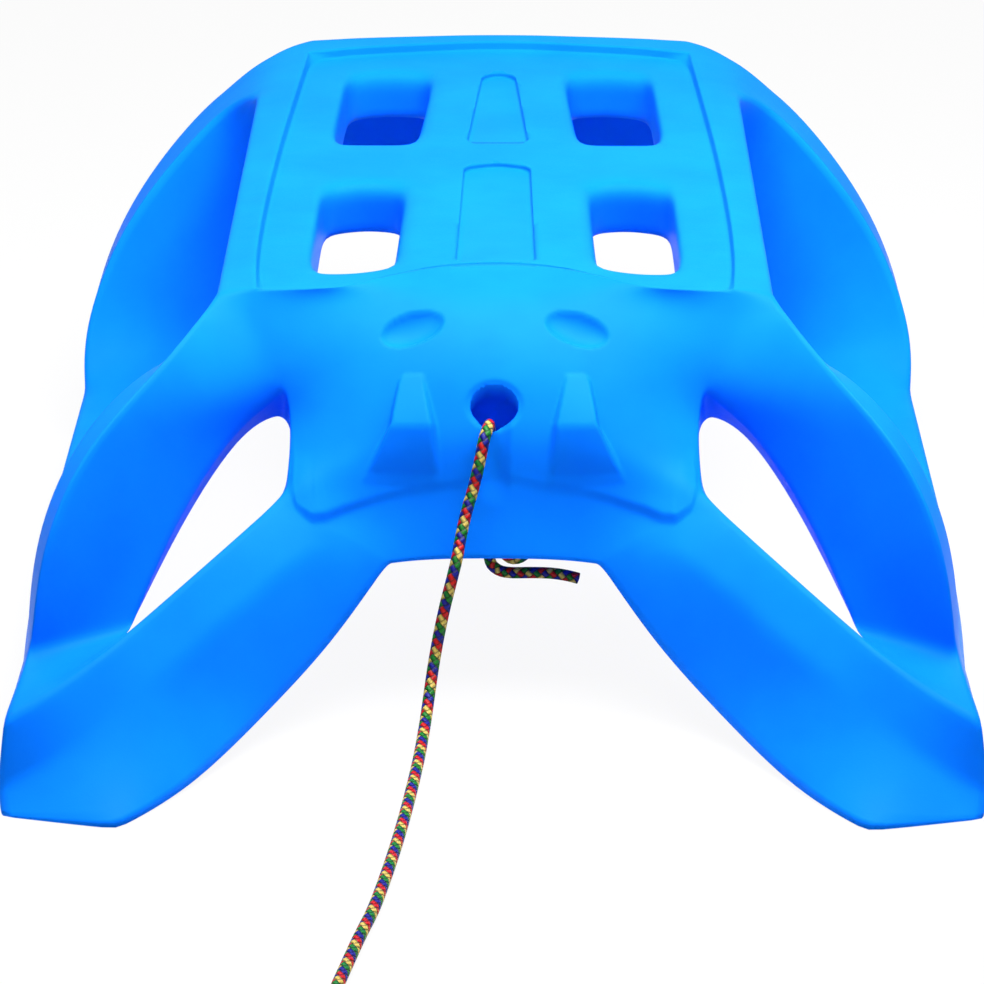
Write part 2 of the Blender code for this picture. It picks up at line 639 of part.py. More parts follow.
def add_details(hull, cutters):
    inward = Vector((0.0, math.cos(math.radians(FACE_SLOPE)), -math.sin(math.radians(FACE_SLOPE))))
    bore = Vector((0.0, math.cos(math.radians(HOLE_SLOPE)), -math.sin(math.radians(HOLE_SLOPE))))
    downward = Vector((0.0, -math.sin(math.radians(FACE_SLOPE)), -math.cos(math.radians(FACE_SLOPE))))
    combine(hull, badge_solid("badge_rear", REAR_BADGE, cutters), "DIFFERENCE")
    combine(hull, badge_solid("badge_front", FRONT_BADGE, cutters), "DIFFERENCE")
    for side, label in ((1.0, "left"), (-1.0, "right")):
        combine(hull, ridge_solid("ridge_" + label, side, cutters), "UNION")
    for side, label in ((1.0, "right"), (-1.0, "left")):
        centre = (EYE_CENTRE[0] * side, EYE_CENTRE[1], EYE_CENTRE[2])
        turns = (EYE_SLOPE, 0.0, -EYE_TURN * side)
        combine(hull, bulb_solid("eye_" + label, centre, EYE_RADII, turns, cutters), "DIFFERENCE")
    groove_start = Vector(HOLE_CENTRE) + downward * (GROOVE_LENGTH / 2.0 + GROOVE_START)
    groove_start = groove_start - inward * (GROOVE_RADIUS - GROOVE_DEPTH)
    groove_radii = (GROOVE_RADIUS, GROOVE_RADIUS, GROOVE_LENGTH)
    groove = bulb_solid("groove", groove_start, groove_radii, (-FACE_SLOPE, 0.0, 0.0), cutters)
    combine(hull, groove, "DIFFERENCE")
    profile = [(0.0, -HOLE_REACH), (HOLE_LIP_RADIUS, -HOLE_REACH), (HOLE_LIP_RADIUS, -1.0)]
    profile += [(HOLE_RADIUS, HOLE_LIP_DEPTH), (HOLE_RADIUS, HOLE_LENGTH), (0.0, HOLE_LENGTH)]
    combine(hull, turned_solid("rope_hole", profile, Vector(HOLE_CENTRE), bore, cutters), "DIFFERENCE")


# The tow rope's own sizes and its route, as points in millimetres from the front tip
ROPE_DIAMETER = 7.0
ROPE_GAP = 0.3
ROPE_STEP = 12.0
KNOT_RING = 9.0
KNOT_TUBE = 4.5
KNOT_OPENING = 0.5
KNOT_CENTRE = (10.6, 238.1, 76.4)
KNOT_LEAD = (-2.9, 242.6, 81.4)
COIL_RADIUS = 45.0
COIL_PITCH = 8.7
COIL_LAYER = 8.0
COIL_TURNS = 1.5
COIL_CLIMB = 0.5
COIL_LOOP_POINTS = 24
COIL_DISTANCE = 62.0
COIL_LEAD = 42.0
KNOT_LOOP_POINTS = 24
ROPE_FINE_STEP = 4.0
ROPE_LIFT = 0.1
END_TAIL = 32.0

ROPE_ROUTE = (
    (-78.4, -187.0, 3.6), (-69.8, -139.0, 3.6), (-63.0, -105.0, 3.6), (-57.9, -70.0, 3.6),
    (-53.5, -35.0, 3.6), (-49.5, 2.0, 3.6), (-46.0, 40.0, 3.6), (-42.9, 79.0, 3.7),
    (-41.0, 108.0, 4.6), (-39.3, 128.0, 9.5), (-37.6, 142.6, 18.1), (-35.5, 151.8, 30.6),
    (-32.6, 157.0, 46.5), (-29.0, 160.0, 63.7), (-24.6, 162.0, 81.7), (-21.6, 167.0, 93.2),
    (-19.7, 174.5, 101.8), (-16.8, 182.3, 113.6), (-12.8, 189.2, 126.1), (-9.2, 193.6, 139.9),
    (-6.2, 199.3, 153.9), (-4.4, 205.0, 158.4), (-3.2, 212.1, 159.4), (-2.8, 218.7, 156.8),
    (-2.8, 223.3, 151.2), (-2.8, 228.2, 140.2), (-2.8, 232.6, 130.2), (-2.9, 238.2, 120.0),
    (-2.9, 242.3, 110.4), (-2.9, 242.6, 100.4),
)

# The stopper knot under the head: its loose end drops past the ring, then runs out sideways
KNOT_TAIL = (
    (-2.9, 233.8, 73.4), (-3.2, 233.8, 67.4), (-1.8, 233.8, 61.0), (3.2, 234.3, 56.5),
    (10.5, 234.7, 55.0), (22.0, 235.1, 54.9), (34.0, 235.5, 54.4), (44.0, 235.7, 52.8), (51.0, 235.9, 50.8),
)


def smooth_route(points, step):
    """Points about a step apart on a smooth curve through the route's own points."""
    ends = [2.0 * points[0] - points[1]] + list(points) + [2.0 * points[-1] - points[-2]]
    result = [points[0]]
    for before, start, end, after in zip(ends, ends[1:], ends[2:], ends[3:]):
        pieces = max(1, round((end - start).length / step))
        for piece in range(1, pieces + 1):
            t = piece / pieces
            bend = 2.0 * start + (end - before) * t
            bend += (2.0 * before - 5.0 * start + 4.0 * end - after) * t * t
            bend += (3.0 * start - before - 3.0 * end + after) * t ** 3
            result.append(bend / 2.0)
    return result


def overhand_ring(centre, out, ahead, up):
    """An overhand knot's three lobes, open at the lobe that points out."""
    points = []
    start = KNOT_OPENING
    end = 4.0 * math.pi - KNOT_OPENING
    steps = 2 * KNOT_LOOP_POINTS
    for number in range(steps + 1):
        angle = start + (end - start) * number / steps
        radius = KNOT_RING + KNOT_TUBE * math.cos(1.5 * angle)
        across = out * math.cos(angle) + ahead * math.sin(angle)
        points.append(centre + across * radius + up * (KNOT_TUBE * math.sin(1.5 * angle)))
    return points


def coil_points(start, heading):
    """A coil on the ground that spirals in, climbs a layer as it turns back, and spirals out."""
    side = Vector((-heading.y, heading.x, 0.0))
    centre = start + side * COIL_RADIUS
    first = math.atan2(-side.y, -side.x)
    turns = 2.0 * COIL_TURNS
    steps = round(turns * COIL_LOOP_POINTS)
    points = [start - heading * ROPE_DIAMETER]
    for number in range(steps + 1):
        turn = number / COIL_LOOP_POINTS
        inward = min(turn, COIL_TURNS) - max(0.0, turn - COIL_TURNS - COIL_CLIMB)
        climb = min(max((turn - COIL_TURNS) / COIL_CLIMB, 0.0), 1.0)
        climb = climb * climb * (3.0 - 2.0 * climb)
        angle = first + 2.0 * math.pi * turn
        radius = COIL_RADIUS - COIL_PITCH * inward
        spot = Vector((math.cos(angle), math.sin(angle), 0.0)) * radius
        points.append(centre + spot + Vector((0.0, 0.0, COIL_LAYER * climb)))
    points.append(points[-1] + heading * COIL_LEAD)
    return points


def least_gap(points, diameter):
    """The smallest clear space between stretches of one tube that lie apart along it."""
    travelled = [0.0]
    for a, b in zip(points, points[1:]):
        travelled.append(travelled[-1] + (b - a).length)
    smallest = math.inf
    for first, a in enumerate(points):
        for second in range(first + 1, len(points)):
            if travelled[second] - travelled[first] > 3.0 * diameter:
                smallest = min(smallest, (points[second] - a).length)
    return smallest - diameter


def build_tube(name, points, rounding, surface, collection):
    curve = bpy.data.curves.new(name, "CURVE")
    curve.dimensions = "3D"
    curve.bevel_depth = ROPE_DIAMETER / 2.0 * MM
    curve.bevel_resolution = rounding
    curve.use_fill_caps = True
    spline = curve.splines.new("POLY")
    spline.points.add(len(points) - 1)
    for target, point in zip(spline.points, points):
        target.co = (*place(point), 1.0)
    curve.materials.append(surface)
    collection.objects.link(bpy.data.objects.new(name, curve))
    print(name, "least gap to itself", round(least_gap(points, ROPE_DIAMETER), 2), "mm")


def build_rope(collection):
    cord = material("braided cord", (0.45, 0.12, 0.10), 0.8)
    heading = (Vector(ROPE_ROUTE[0]) - Vector(ROPE_ROUTE[1])).normalized()
    heading = Vector((heading.x, heading.y, 0.0)).normalized()
    coil_start = Vector(ROPE_ROUTE[0]) + heading * COIL_DISTANCE
    coil = coil_points(coil_start, heading)
    build_tube("rope_coil", coil, 1, cord, collection)
    first = coil[0] - heading * ROPE_GAP
    route = [first] + [Vector(point) for point in ROPE_ROUTE]
    build_tube("tow_rope", smooth_route(route, ROPE_STEP), 2, cord, collection)

    top = Vector(ROPE_ROUTE[-1])
    left, down, back = Vector((-1.0, 0.0, 0.0)), Vector((0.0, 0.0, -1.0)), Vector((0.0, 1.0, 0.0))
    ring = overhand_ring(Vector(KNOT_CENTRE), left, down, back)
    lead = [top + down * ROPE_GAP, top + down * (ROPE_GAP + ROPE_DIAMETER)]
    lead = smooth_route(lead + [Vector(KNOT_LEAD), ring[0]], ROPE_FINE_STEP)
    tail = smooth_route([ring[-1]] + [Vector(point) for point in KNOT_TAIL], ROPE_FINE_STEP)
    build_tube("stopper_knot", lead + ring[1:-1] + tail, 1, cord, collection)

    end = coil[-1] + heading * ROPE_GAP
    up = Vector((0.0, 0.0, 1.0))
    out = Vector((-heading.y, heading.x, 0.0))
    reach = KNOT_RING + KNOT_TUBE
    knot_middle = end + heading * (2.0 * ROPE_DIAMETER + reach) - out * reach
    knot_middle.z = ROPE_DIAMETER / 2.0 + KNOT_TUBE + ROPE_LIFT
    ring = overhand_ring(knot_middle, out, heading, up)
    line = knot_middle + out * reach
    above = Vector((0.0, 0.0, KNOT_TUBE))
    lead = [end, end + heading * ROPE_DIAMETER, line + above - heading * 2.0, ring[0]]
    lead = smooth_route(lead, ROPE_FINE_STEP)
    stops = (2.0, 9.0, 20.0, END_TAIL)
    tail = [ring[-1]] + [line - above + heading * stop for stop in stops]
    build_tube("end_knot", lead + ring[1:-1] + smooth_route(tail, ROPE_FINE_STEP), 1, cord, collection)


def material(name, colour, roughness):
    result = bpy.data.materials.new(name)
    result.use_nodes = True
    shader = result.node_tree.nodes["Principled BSDF"]
    shader.inputs["Base Color"].default_value = (*colour, 1.0)
    shader.inputs["Roughness"].default_value = roughness
    return result


def build_hull(collection, cutters):
    cage = Cage()
    add_slab(cage)
    add_slot_walls(cage)
    add_skirt(cage)
    add_beam(cage)
    add_arm(cage)
    add_runner(cage)
    add_leg(cage)
    hold_edges(cage)
    mesh = cage.finish("sled_body")
    hull = bpy.data.objects.new("sled_body", mesh)
    collection.objects.link(hull)
    mirror = hull.modifiers.new("mirror", "MIRROR")
    mirror.merge_threshold = 0.0001
    mirror.use_clip = True
    smooth = hull.modifiers.new("subdivide", "SUBSURF")
    smooth.levels = SUBDIVISIONS
    smooth.render_levels = SUBDIVISIONS
    add_details(hull, cutters)
    mesh.materials.append(material("blue polyethylene", (0.01, 0.29, 0.95), 0.45))
    mesh.shade_smooth()


def main():
    for item in list(bpy.data.objects):
        bpy.data.objects.remove(item, do_unlink=True)
    collection = bpy.data.collections.new("plastic_sled")
    cutters = bpy.data.collections.new("cutters")
    for group in (collection, cutters):
        bpy.context.scene.collection.children.link(group)
    build_hull(collection, cutters)
    build_rope(collection)


main()
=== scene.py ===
# Child's moulded snow sled with a braided tow rope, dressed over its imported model.
# Sizes are in millimetres from the front tip of the feet, as on the drawing, until
# place() turns them into the frame's metres.

import json
import math

import bmesh
import bpy
import numpy as np
from mathutils import Matrix, Vector

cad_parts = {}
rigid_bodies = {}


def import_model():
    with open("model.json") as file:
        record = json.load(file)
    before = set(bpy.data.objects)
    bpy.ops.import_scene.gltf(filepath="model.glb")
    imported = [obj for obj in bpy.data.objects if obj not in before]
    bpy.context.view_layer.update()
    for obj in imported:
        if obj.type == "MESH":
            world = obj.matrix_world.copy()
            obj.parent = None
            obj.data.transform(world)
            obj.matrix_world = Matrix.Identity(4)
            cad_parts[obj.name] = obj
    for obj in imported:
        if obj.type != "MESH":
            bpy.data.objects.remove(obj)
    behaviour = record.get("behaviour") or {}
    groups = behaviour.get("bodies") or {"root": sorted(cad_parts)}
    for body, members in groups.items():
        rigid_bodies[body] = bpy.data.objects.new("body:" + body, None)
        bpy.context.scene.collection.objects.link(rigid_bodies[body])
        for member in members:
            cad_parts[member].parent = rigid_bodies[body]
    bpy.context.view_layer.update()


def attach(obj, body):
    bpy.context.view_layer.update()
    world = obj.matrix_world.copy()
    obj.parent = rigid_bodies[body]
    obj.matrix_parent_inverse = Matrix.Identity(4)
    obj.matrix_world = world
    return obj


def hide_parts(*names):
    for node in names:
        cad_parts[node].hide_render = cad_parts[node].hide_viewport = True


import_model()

MM = 0.001
HALF_LENGTH = 420.0


def place(point):
    """A drawing point in millimetres, as a point of the frame in metres."""
    return Vector((point[0] * MM, (point[1] - HALF_LENGTH) * MM, point[2] * MM))


def blend(start, end, share):
    return tuple(a + (b - a) * share for a, b in zip(start, end))


def shifted(point, offset):
    return tuple(a + b for a, b in zip(point, offset))


def along(stops, value):
    """Read a piecewise straight line given as (value, result) stops in rising order."""
    if value <= stops[0][0]:
        return stops[0][1]
    for (low, first), (high, second) in zip(stops, stops[1:]):
        if value <= high:
            return first + (second - first) * (value - low) / (high - low)
    return stops[-1][1]


# Camera at the photograph's place: 22 degrees above the ground, 2.3 m from the front tip
CAMERA_PITCH = math.radians(22.0)
CAMERA_YAW = math.radians(0.36)
CAMERA_DISTANCE = 2.3
FRAME_WIDTH = 0.55
IMAGE_PIXELS = 984.0
TIP_ROW = 828.0
SENSOR = 36.0


def mesh_of(name, shape):
    mesh = bpy.data.meshes.new(name)
    shape.to_mesh(mesh)
    shape.free()
    return mesh


def add_object(name, data):
    """A new object in the scene."""
    piece = bpy.data.objects.new(name, data)
    bpy.context.scene.collection.objects.link(piece)
    return piece


def set_camera():
    focus = IMAGE_PIXELS / FRAME_WIDTH * CAMERA_DISTANCE
    tip_rise = (IMAGE_PIXELS / 2.0 - TIP_ROW) / focus * CAMERA_DISTANCE
    turn = Matrix.Rotation(CAMERA_YAW, 3, "Z")
    across = turn @ Vector((1.0, 0.0, 0.0))
    ahead = turn @ Vector((0.0, math.cos(CAMERA_PITCH), -math.sin(CAMERA_PITCH)))
    up = turn @ Vector((0.0, math.sin(CAMERA_PITCH), math.cos(CAMERA_PITCH)))
    lens = bpy.data.cameras.new("camera")
    lens.sensor_width = SENSOR
    lens.lens = SENSOR * focus / IMAGE_PIXELS
    lens.clip_start = 0.05
    lens.clip_end = 50.0
    camera = add_object("camera", lens)
    spot = place((0.0, 0.0, 0.0)) - CAMERA_DISTANCE * ahead - tip_rise * up
    camera.matrix_world = Matrix.Translation(spot) @ Matrix((across, up, -ahead)).transposed().to_4x4()
    bpy.context.scene.camera = camera


# Sizes of the hull
DECK_TOP = 220.0
DECK_DEPTH = 40.0
PANEL_DROP = 6.0
PANEL_STEP = 2.0
DECK_HALF_WIDTH = 168.0
DECK_REAR = 850.0
DECK_REAR_BOW = 20.0
DECK_REAR_CORNER = 20.0
DECK_FRONT = 287.0
CREST_HALF_WIDTH = 92.0
CREST_BOW = 56.0
PANEL_REAR = 829.0
PANEL_REAR_BOW = 36.0
SLOT_BOW = 14.0
REAR_SLOT = (758.0, 608.0)
FRONT_SLOT = (498.0, 338.0)
SKIRT_FRONT = 812.0
# How far the slots' sides and the panel's step stand from the middle, as (y, x) stops
SLOT_INNER = ((340.0, 64.0), (493.0, 61.0), (615.0, 55.5), (742.0, 48.0))
SLOT_OUTER = ((340.0, 114.0), (489.0, 113.5), (608.0, 111.0), (742.0, 107.5))
PANEL_EDGE = ((290.0, 144.0), (325.0, 148.0), (437.0, 149.0), (585.0, 146.0), (804.0, 137.0))
PANEL_INSET = 22.0
MIDDLE_COLUMN = 26.0
CREST_SETBACK = 3.0
SIDE_ROLL = 3.0
SKIRT_SETBACK = 2.0
RUNNER_TOP = 40.0

def srgb(hex_value):
    """A sRGB hex colour as the linear values that a shader takes."""
    channels = [int(hex_value[i:i + 2], 16) / 255.0 for i in (1, 3, 5)]
    linear = [c / 12.92 if c <= 0.04045 else ((c + 0.055) / 1.055) ** 2.4 for c in channels]
    return (*linear, 1.0)


def add_node(tree, kind, links=None, **settings):
    """Add one node: inputs by name or number take values or other nodes' outputs."""
    node = tree.nodes.new(kind)
    for name, value in settings.items():
        setattr(node, name, value)
    for name, value in (links or {}).items():
        if isinstance(value, bpy.types.NodeSocket):
            tree.links.new(value, node.inputs[name])
        else:
            node.inputs[name].default_value = value
    return node


def new_material(name):
    material = bpy.data.materials.new(name)
    material.use_nodes = True
    tree = material.node_tree
    return material, tree, tree.nodes["Principled BSDF"]


def blue_polyethylene():
    """Blow-moulded high-density polyethylene, coloured through: the eye sees an even deep blue
    with a soft wide sheen, a fine matt skin from the blasted mould, and faint clouding where
    the wall cooled unevenly."""
    material, tree, shader = new_material("blue_blow_moulded_polyethylene")
    coords = add_node(tree, "ShaderNodeTexCoord").outputs["Object"]
    # Clouding about 60 mm across
    clouds = add_node(tree, "ShaderNodeTexNoise", {
        "Vector": coords, "Scale": 16.0, "Detail": 3.0, "Roughness": 0.55})
    tint = add_node(tree, "ShaderNodeMapRange", {
        "Value": clouds.outputs["Fac"], "From Min": 0.35, "From Max": 0.65})
    colour = add_node(tree, "ShaderNodeMix", {"Factor": tint.outputs["Result"]}, data_type="RGBA")
    colour.inputs["A"].default_value = srgb(HULL_DEEP)
    colour.inputs["B"].default_value = srgb(HULL_PALE)
    tree.links.new(colour.outputs["Result"], shader.inputs["Base Color"])
    # Blasted mould skin: grains of about 0.5 mm, drawn at 1.2 mm so that they show
    grain = add_node(tree, "ShaderNodeTexNoise", {"Vector": coords, "Scale": 830.0, "Detail": 2.0})
    sheen = add_node(tree, "ShaderNodeMapRange", {
        "Value": grain.outputs["Fac"], "To Min": 0.38, "To Max": 0.5})
    tree.links.new(sheen.outputs["Result"], shader.inputs["Roughness"])
    # Waviness of the cooled wall, about 25 mm from crest to crest
    waves = add_node(tree, "ShaderNodeTexNoise", {"Vector": coords, "Scale": 40.0, "Detail": 1.0})
    fine = add_node(tree, "ShaderNodeBump", {
        "Strength": 0.12, "Distance": 0.0004, "Height": grain.outputs["Fac"]})
    skin = add_node(tree, "ShaderNodeBump", {
        "Strength": 0.25, "Distance": 0.0012, "Height": waves.outputs["Fac"],
        "Normal": fine.outputs["Normal"]})
    tree.links.new(skin.outputs["Normal"], shader.inputs["Normal"])
    shader.inputs["IOR"].default_value = 1.54
    # The pigment colours the sheen that comes from just under the skin
    shader.inputs["Specular IOR Level"].default_value = 0.05
    shader.inputs["Specular Tint"].default_value = srgb("#1E86FF")
    return material


def braided_cord():
    """Braided polypropylene yarn: round bundles in red, blue, green and cream that cross in a diamond
    pattern, with fine fibres along them. Painted shade darkens each yarn from its crown to its edges, nearly
    to black in the gaps between the yarns."""
    material, tree, shader = new_material("braided_polypropylene_cord")
    uv = add_node(tree, "ShaderNodeUVMap", uv_map="cord").outputs["UV"]
    parts = add_node(tree, "ShaderNodeSeparateXYZ", {"Vector": uv})
    turns, metres = parts.outputs["X"], parts.outputs["Y"]

    def calc(operation, first, second=0.0, third=0.0):
        node = add_node(tree, "ShaderNodeMath", operation=operation)
        for number, value in enumerate((first, second, third)):
            if isinstance(value, bpy.types.NodeSocket):
                tree.links.new(value, node.inputs[number])
            else:
                node.inputs[number].default_value = value
        return node.outputs["Value"]

    # Four bundles of yarn wind each way round the cord, and each goes round it once in 20 mm
    around = calc("MULTIPLY", turns, YARNS)
    ahead = calc("MULTIPLY", metres, YARNS / BRAID_LAY)
    right = calc("ADD", around, ahead)
    left = calc("SUBTRACT", around, ahead)
    right_yarn = calc("FLOOR", right)
    left_yarn = calc("FLOOR", left)
    crossing = calc("ADD", right_yarn, left_yarn)
    over = calc("FLOORED_MODULO", crossing, 2.0)
    right_on_top = calc("GREATER_THAN", over, 0.5)
    right_spot = calc("FRACT", right)
    left_spot = calc("FRACT", left)

    def crown(spot):
        """A yarn's rounded back: 1 in its middle and 0 at its edges."""
        centred = calc("SUBTRACT", spot, 0.5)
        square = calc("MULTIPLY", centred, centred)
        return calc("SUBTRACT", 1.0, calc("MULTIPLY", square, 4.0))

    def pick(choice, first, second):
        """first where choice is 0 and second where it is 1."""
        share_of_first = calc("SUBTRACT", 1.0, choice)
        return calc("ADD", calc("MULTIPLY", first, share_of_first), calc("MULTIPLY", second, choice))

    height = pick(right_on_top, crown(left_spot), crown(right_spot))
    number = pick(right_on_top, calc("SUBTRACT", YARN_SHIFT, left_yarn), right_yarn)
    share = calc("DIVIDE", calc("ADD", calc("FLOORED_MODULO", number, YARNS), 0.5), YARNS)
    ramp = add_node(tree, "ShaderNodeValToRGB", {"Fac": share})
    ramp.color_ramp.interpolation = "CONSTANT"
    stops = ramp.color_ramp.elements
    while len(stops) < len(YARN_COLOURS):
        stops.new(0.5)
    for index, hex_value in enumerate(YARN_COLOURS):
        stops[index].position = index / len(YARN_COLOURS)
        stops[index].color = srgb(hex_value)
    # Fibres of 0.1 mm along each yarn, drawn at 0.3 mm
    fibres = add_node(tree, "ShaderNodeTexNoise", {"Vector": add_node(tree, "ShaderNodeCombineXYZ", {
        "X": calc("MULTIPLY", pick(right_on_top, left_spot, right_spot), 6.0),
        "Y": calc("MULTIPLY", metres, 160.0), "Z": number}).outputs["Vector"], "Scale": 1.0, "Detail": 2.0})
    # Painted shade: the yarn colour darkens from each crown toward its edges and nearly to black where the
    # yarns meet, times a fibre tone of 0.75 to 1.25
    painted_shade_and_fibres = calc("MULTIPLY", calc("ADD", calc("MULTIPLY", height, 0.85), 0.03),
                 calc("ADD", calc("MULTIPLY", fibres.outputs["Fac"], 0.5), 0.75))
    painted_shade_mix = add_node(tree, "ShaderNodeMix", {"Factor": 1.0}, data_type="RGBA", blend_type="MULTIPLY")
    tree.links.new(ramp.outputs["Color"], painted_shade_mix.inputs["A"])
    grey = add_node(tree, "ShaderNodeCombineColor", {"Red": painted_shade_and_fibres, "Green": painted_shade_and_fibres, "Blue": painted_shade_and_fibres})
    tree.links.new(grey.outputs["Color"], painted_shade_mix.inputs["B"])
    tree.links.new(painted_shade_mix.outputs["Result"], shader.inputs["Base Color"])
    relief = calc("ADD", height, calc("MULTIPLY", fibres.outputs["Fac"], 0.3))
    bump = add_node(tree, "ShaderNodeBump", {"Strength": 1.0, "Distance": 0.0008, "Height": relief})
    tree.links.new(bump.outputs["Normal"], shader.inputs["Normal"])
    shader.inputs["Roughness"].default_value = 0.5
    shader.inputs["Specular IOR Level"].default_value = 0.25
    return material


# The tow rope: one cord of 7 mm from the stopper knot behind the head, out of the rope hole,
# down over the nose and forward along the ground to a coil and an end knot past the view
ROPE_DIAMETER = 7.0
ROPE_SIDES = 16
ROPE_STEP = 12.0
ROPE_FINE_STEP = 4.0
RING_STEP = 2.5
KNOT_RING = 9.0
KNOT_TUBE = 4.5
KNOT_OPENING = 0.5
KNOT_CENTRE = (10.6, 238.1, 76.4)
KNOT_LEAD = (-2.9, 242.6, 81.4)
KNOT_LOOP_POINTS = 24
COIL_RADIUS = 45.0
COIL_PITCH = 8.7
COIL_LAYER = 8.0
COIL_TURNS = 1.5
COIL_CLIMB = 0.5
COIL_LOOP_POINTS = 24
COIL_DISTANCE = 62.0
COIL_LEAD = 42.0
ROPE_LIFT = 0.1
END_TAIL = 32.0

ROPE_ROUTE = (
    (-78.4, -187.0, 3.6), (-69.8, -139.0, 3.6), (-63.0, -105.0, 3.6), (-57.9, -70.0, 3.6),
    (-53.5, -35.0, 3.6), (-49.5, 2.0, 3.6), (-46.0, 40.0, 3.6), (-42.9, 79.0, 3.7),
    (-41.0, 108.0, 4.6), (-39.3, 128.0, 9.5), (-37.6, 142.6, 18.1), (-35.5, 151.8, 30.6),
    (-32.6, 157.0, 46.5), (-29.0, 160.0, 63.7), (-24.6, 162.0, 81.7), (-21.6, 167.0, 93.2),
    (-19.7, 174.5, 101.8), (-16.8, 182.3, 113.6), (-12.8, 189.2, 126.1), (-9.2, 193.6, 139.9),
    (-6.2, 199.3, 153.9), (-4.4, 205.0, 158.4), (-3.2, 212.1, 159.4), (-2.8, 218.7, 156.8),
    (-2.8, 223.3, 151.2), (-2.8, 228.2, 140.2), (-2.8, 232.6, 130.2), (-2.9, 238.2, 120.0),
    (-2.9, 242.3, 110.4), (-2.9, 242.6, 100.4),
)

# The stopper knot's loose end drops past its ring and runs out sideways
KNOT_TAIL = (
    (-2.9, 233.8, 73.4), (-3.2, 233.8, 67.4), (-1.8, 233.8, 61.0), (3.2, 234.3, 56.5),
    (10.5, 234.7, 55.0), (22.0, 235.1, 54.9), (34.0, 235.5, 54.4), (44.0, 235.7, 52.8), (51.0, 235.9, 50.8),
)


def smooth_route(points, step):
    """Points about a step apart on a smooth curve through the route's own points."""
    ends = [2.0 * points[0] - points[1]] + list(points) + [2.0 * points[-1] - points[-2]]
    result = [points[0]]
    for before, start, end, after in zip(ends, ends[1:], ends[2:], ends[3:]):
        pieces = max(1, round((end - start).length / step))
        for piece in range(1, pieces + 1):
            t = piece / pieces
            bend = 2.0 * start + (end - before) * t
            bend += (2.0 * before - 5.0 * start + 4.0 * end - after) * t * t
            bend += (3.0 * start - before - 3.0 * end + after) * t ** 3
            result.append(bend / 2.0)
    return result


def overhand_ring(centre, out, ahead, up):
    """An overhand knot's three lobes, open at the lobe that points out."""
    points = []
    start = KNOT_OPENING
    end = 4.0 * math.pi - KNOT_OPENING
    steps = 2 * KNOT_LOOP_POINTS
    for number in range(steps + 1):
        angle = start + (end - start) * number / steps
        radius = KNOT_RING + KNOT_TUBE * math.cos(1.5 * angle)
        across = out * math.cos(angle) + ahead * math.sin(angle)
        points.append(centre + across * radius + up * (KNOT_TUBE * math.sin(1.5 * angle)))
    return points


def coil_points(start, heading):
    """A coil on the ground that spirals in, climbs a layer as it turns back, and spirals out."""
    side = Vector((-heading.y, heading.x, 0.0))
    centre = start + side * COIL_RADIUS
    first = math.atan2(-side.y, -side.x)
    steps = round(2.0 * COIL_TURNS * COIL_LOOP_POINTS)
    points = [start - heading * ROPE_DIAMETER]
    for number in range(steps + 1):
        turn = number / COIL_LOOP_POINTS
        inward = min(turn, COIL_TURNS) - max(0.0, turn - COIL_TURNS - COIL_CLIMB)
        climb = min(max((turn - COIL_TURNS) / COIL_CLIMB, 0.0), 1.0)
        climb = climb * climb * (3.0 - 2.0 * climb)
        angle = first + 2.0 * math.pi * turn
        radius = COIL_RADIUS - COIL_PITCH * inward
        spot = Vector((math.cos(angle), math.sin(angle), 0.0)) * radius
        points.append(centre + spot + Vector((0.0, 0.0, COIL_LAYER * climb)))
    points.append(points[-1] + heading * COIL_LEAD)
    return points


def rope_routes():
    """The routes of the stopper knot, the free rope with its coil, and the end knot."""
    heading = Vector(ROPE_ROUTE[0]) - Vector(ROPE_ROUTE[1])
    heading = Vector((heading.x, heading.y, 0.0)).normalized()
    coil = coil_points(Vector(ROPE_ROUTE[0]) + heading * COIL_DISTANCE, heading)
    free = [coil[0]] + [Vector(point) for point in ROPE_ROUTE]
    free = smooth_route(free, ROPE_STEP)

    top = Vector(ROPE_ROUTE[-1])
    left, down, back = Vector((-1.0, 0.0, 0.0)), Vector((0.0, 0.0, -1.0)), Vector((0.0, 1.0, 0.0))
    ring = overhand_ring(Vector(KNOT_CENTRE), left, down, back)
    lead = smooth_route([top, top + down * ROPE_DIAMETER, Vector(KNOT_LEAD), ring[0]], ROPE_FINE_STEP)
    tail = smooth_route([ring[-1]] + [Vector(point) for point in KNOT_TAIL], ROPE_FINE_STEP)
    stopper = lead + ring[1:-1] + tail

    end = coil[-1]
    out = Vector((-heading.y, heading.x, 0.0))
    reach = KNOT_RING + KNOT_TUBE
    middle = end + heading * (2.0 * ROPE_DIAMETER + reach) - out * reach
    middle.z = ROPE_DIAMETER / 2.0 + KNOT_TUBE + ROPE_LIFT
    ring = overhand_ring(middle, out, heading, Vector((0.0, 0.0, 1.0)))
    line = middle + out * reach
    above = Vector((0.0, 0.0, KNOT_TUBE))
    lead = [end, end + heading * ROPE_DIAMETER, line + above - heading * 2.0, ring[0]]
    lead = smooth_route(lead, ROPE_FINE_STEP)
    tail = [ring[-1]] + [line - above + heading * stop for stop in (2.0, 9.0, 20.0, END_TAIL)]
    last = lead + ring[1:-1] + smooth_route(tail, ROPE_FINE_STEP)
    return stopper, list(reversed(free))[:-1] + coil, last


def even_points(points, step):
    """The same line with its points a steady step apart."""
    line = smooth_route(points, step / 2.0)
    travelled = np.concatenate([[0.0], np.cumsum([(b - a).length for a, b in zip(line, line[1:])])])
    count = max(2, round(travelled[-1] / step))
    stops = np.linspace(0.0, travelled[-1], count + 1)
    spots = np.array([tuple(point) for point in line])
    axes = [np.interp(stops, travelled, spots[:, axis]) for axis in range(3)]
    return [Vector(spot) for spot in zip(*axes)], stops


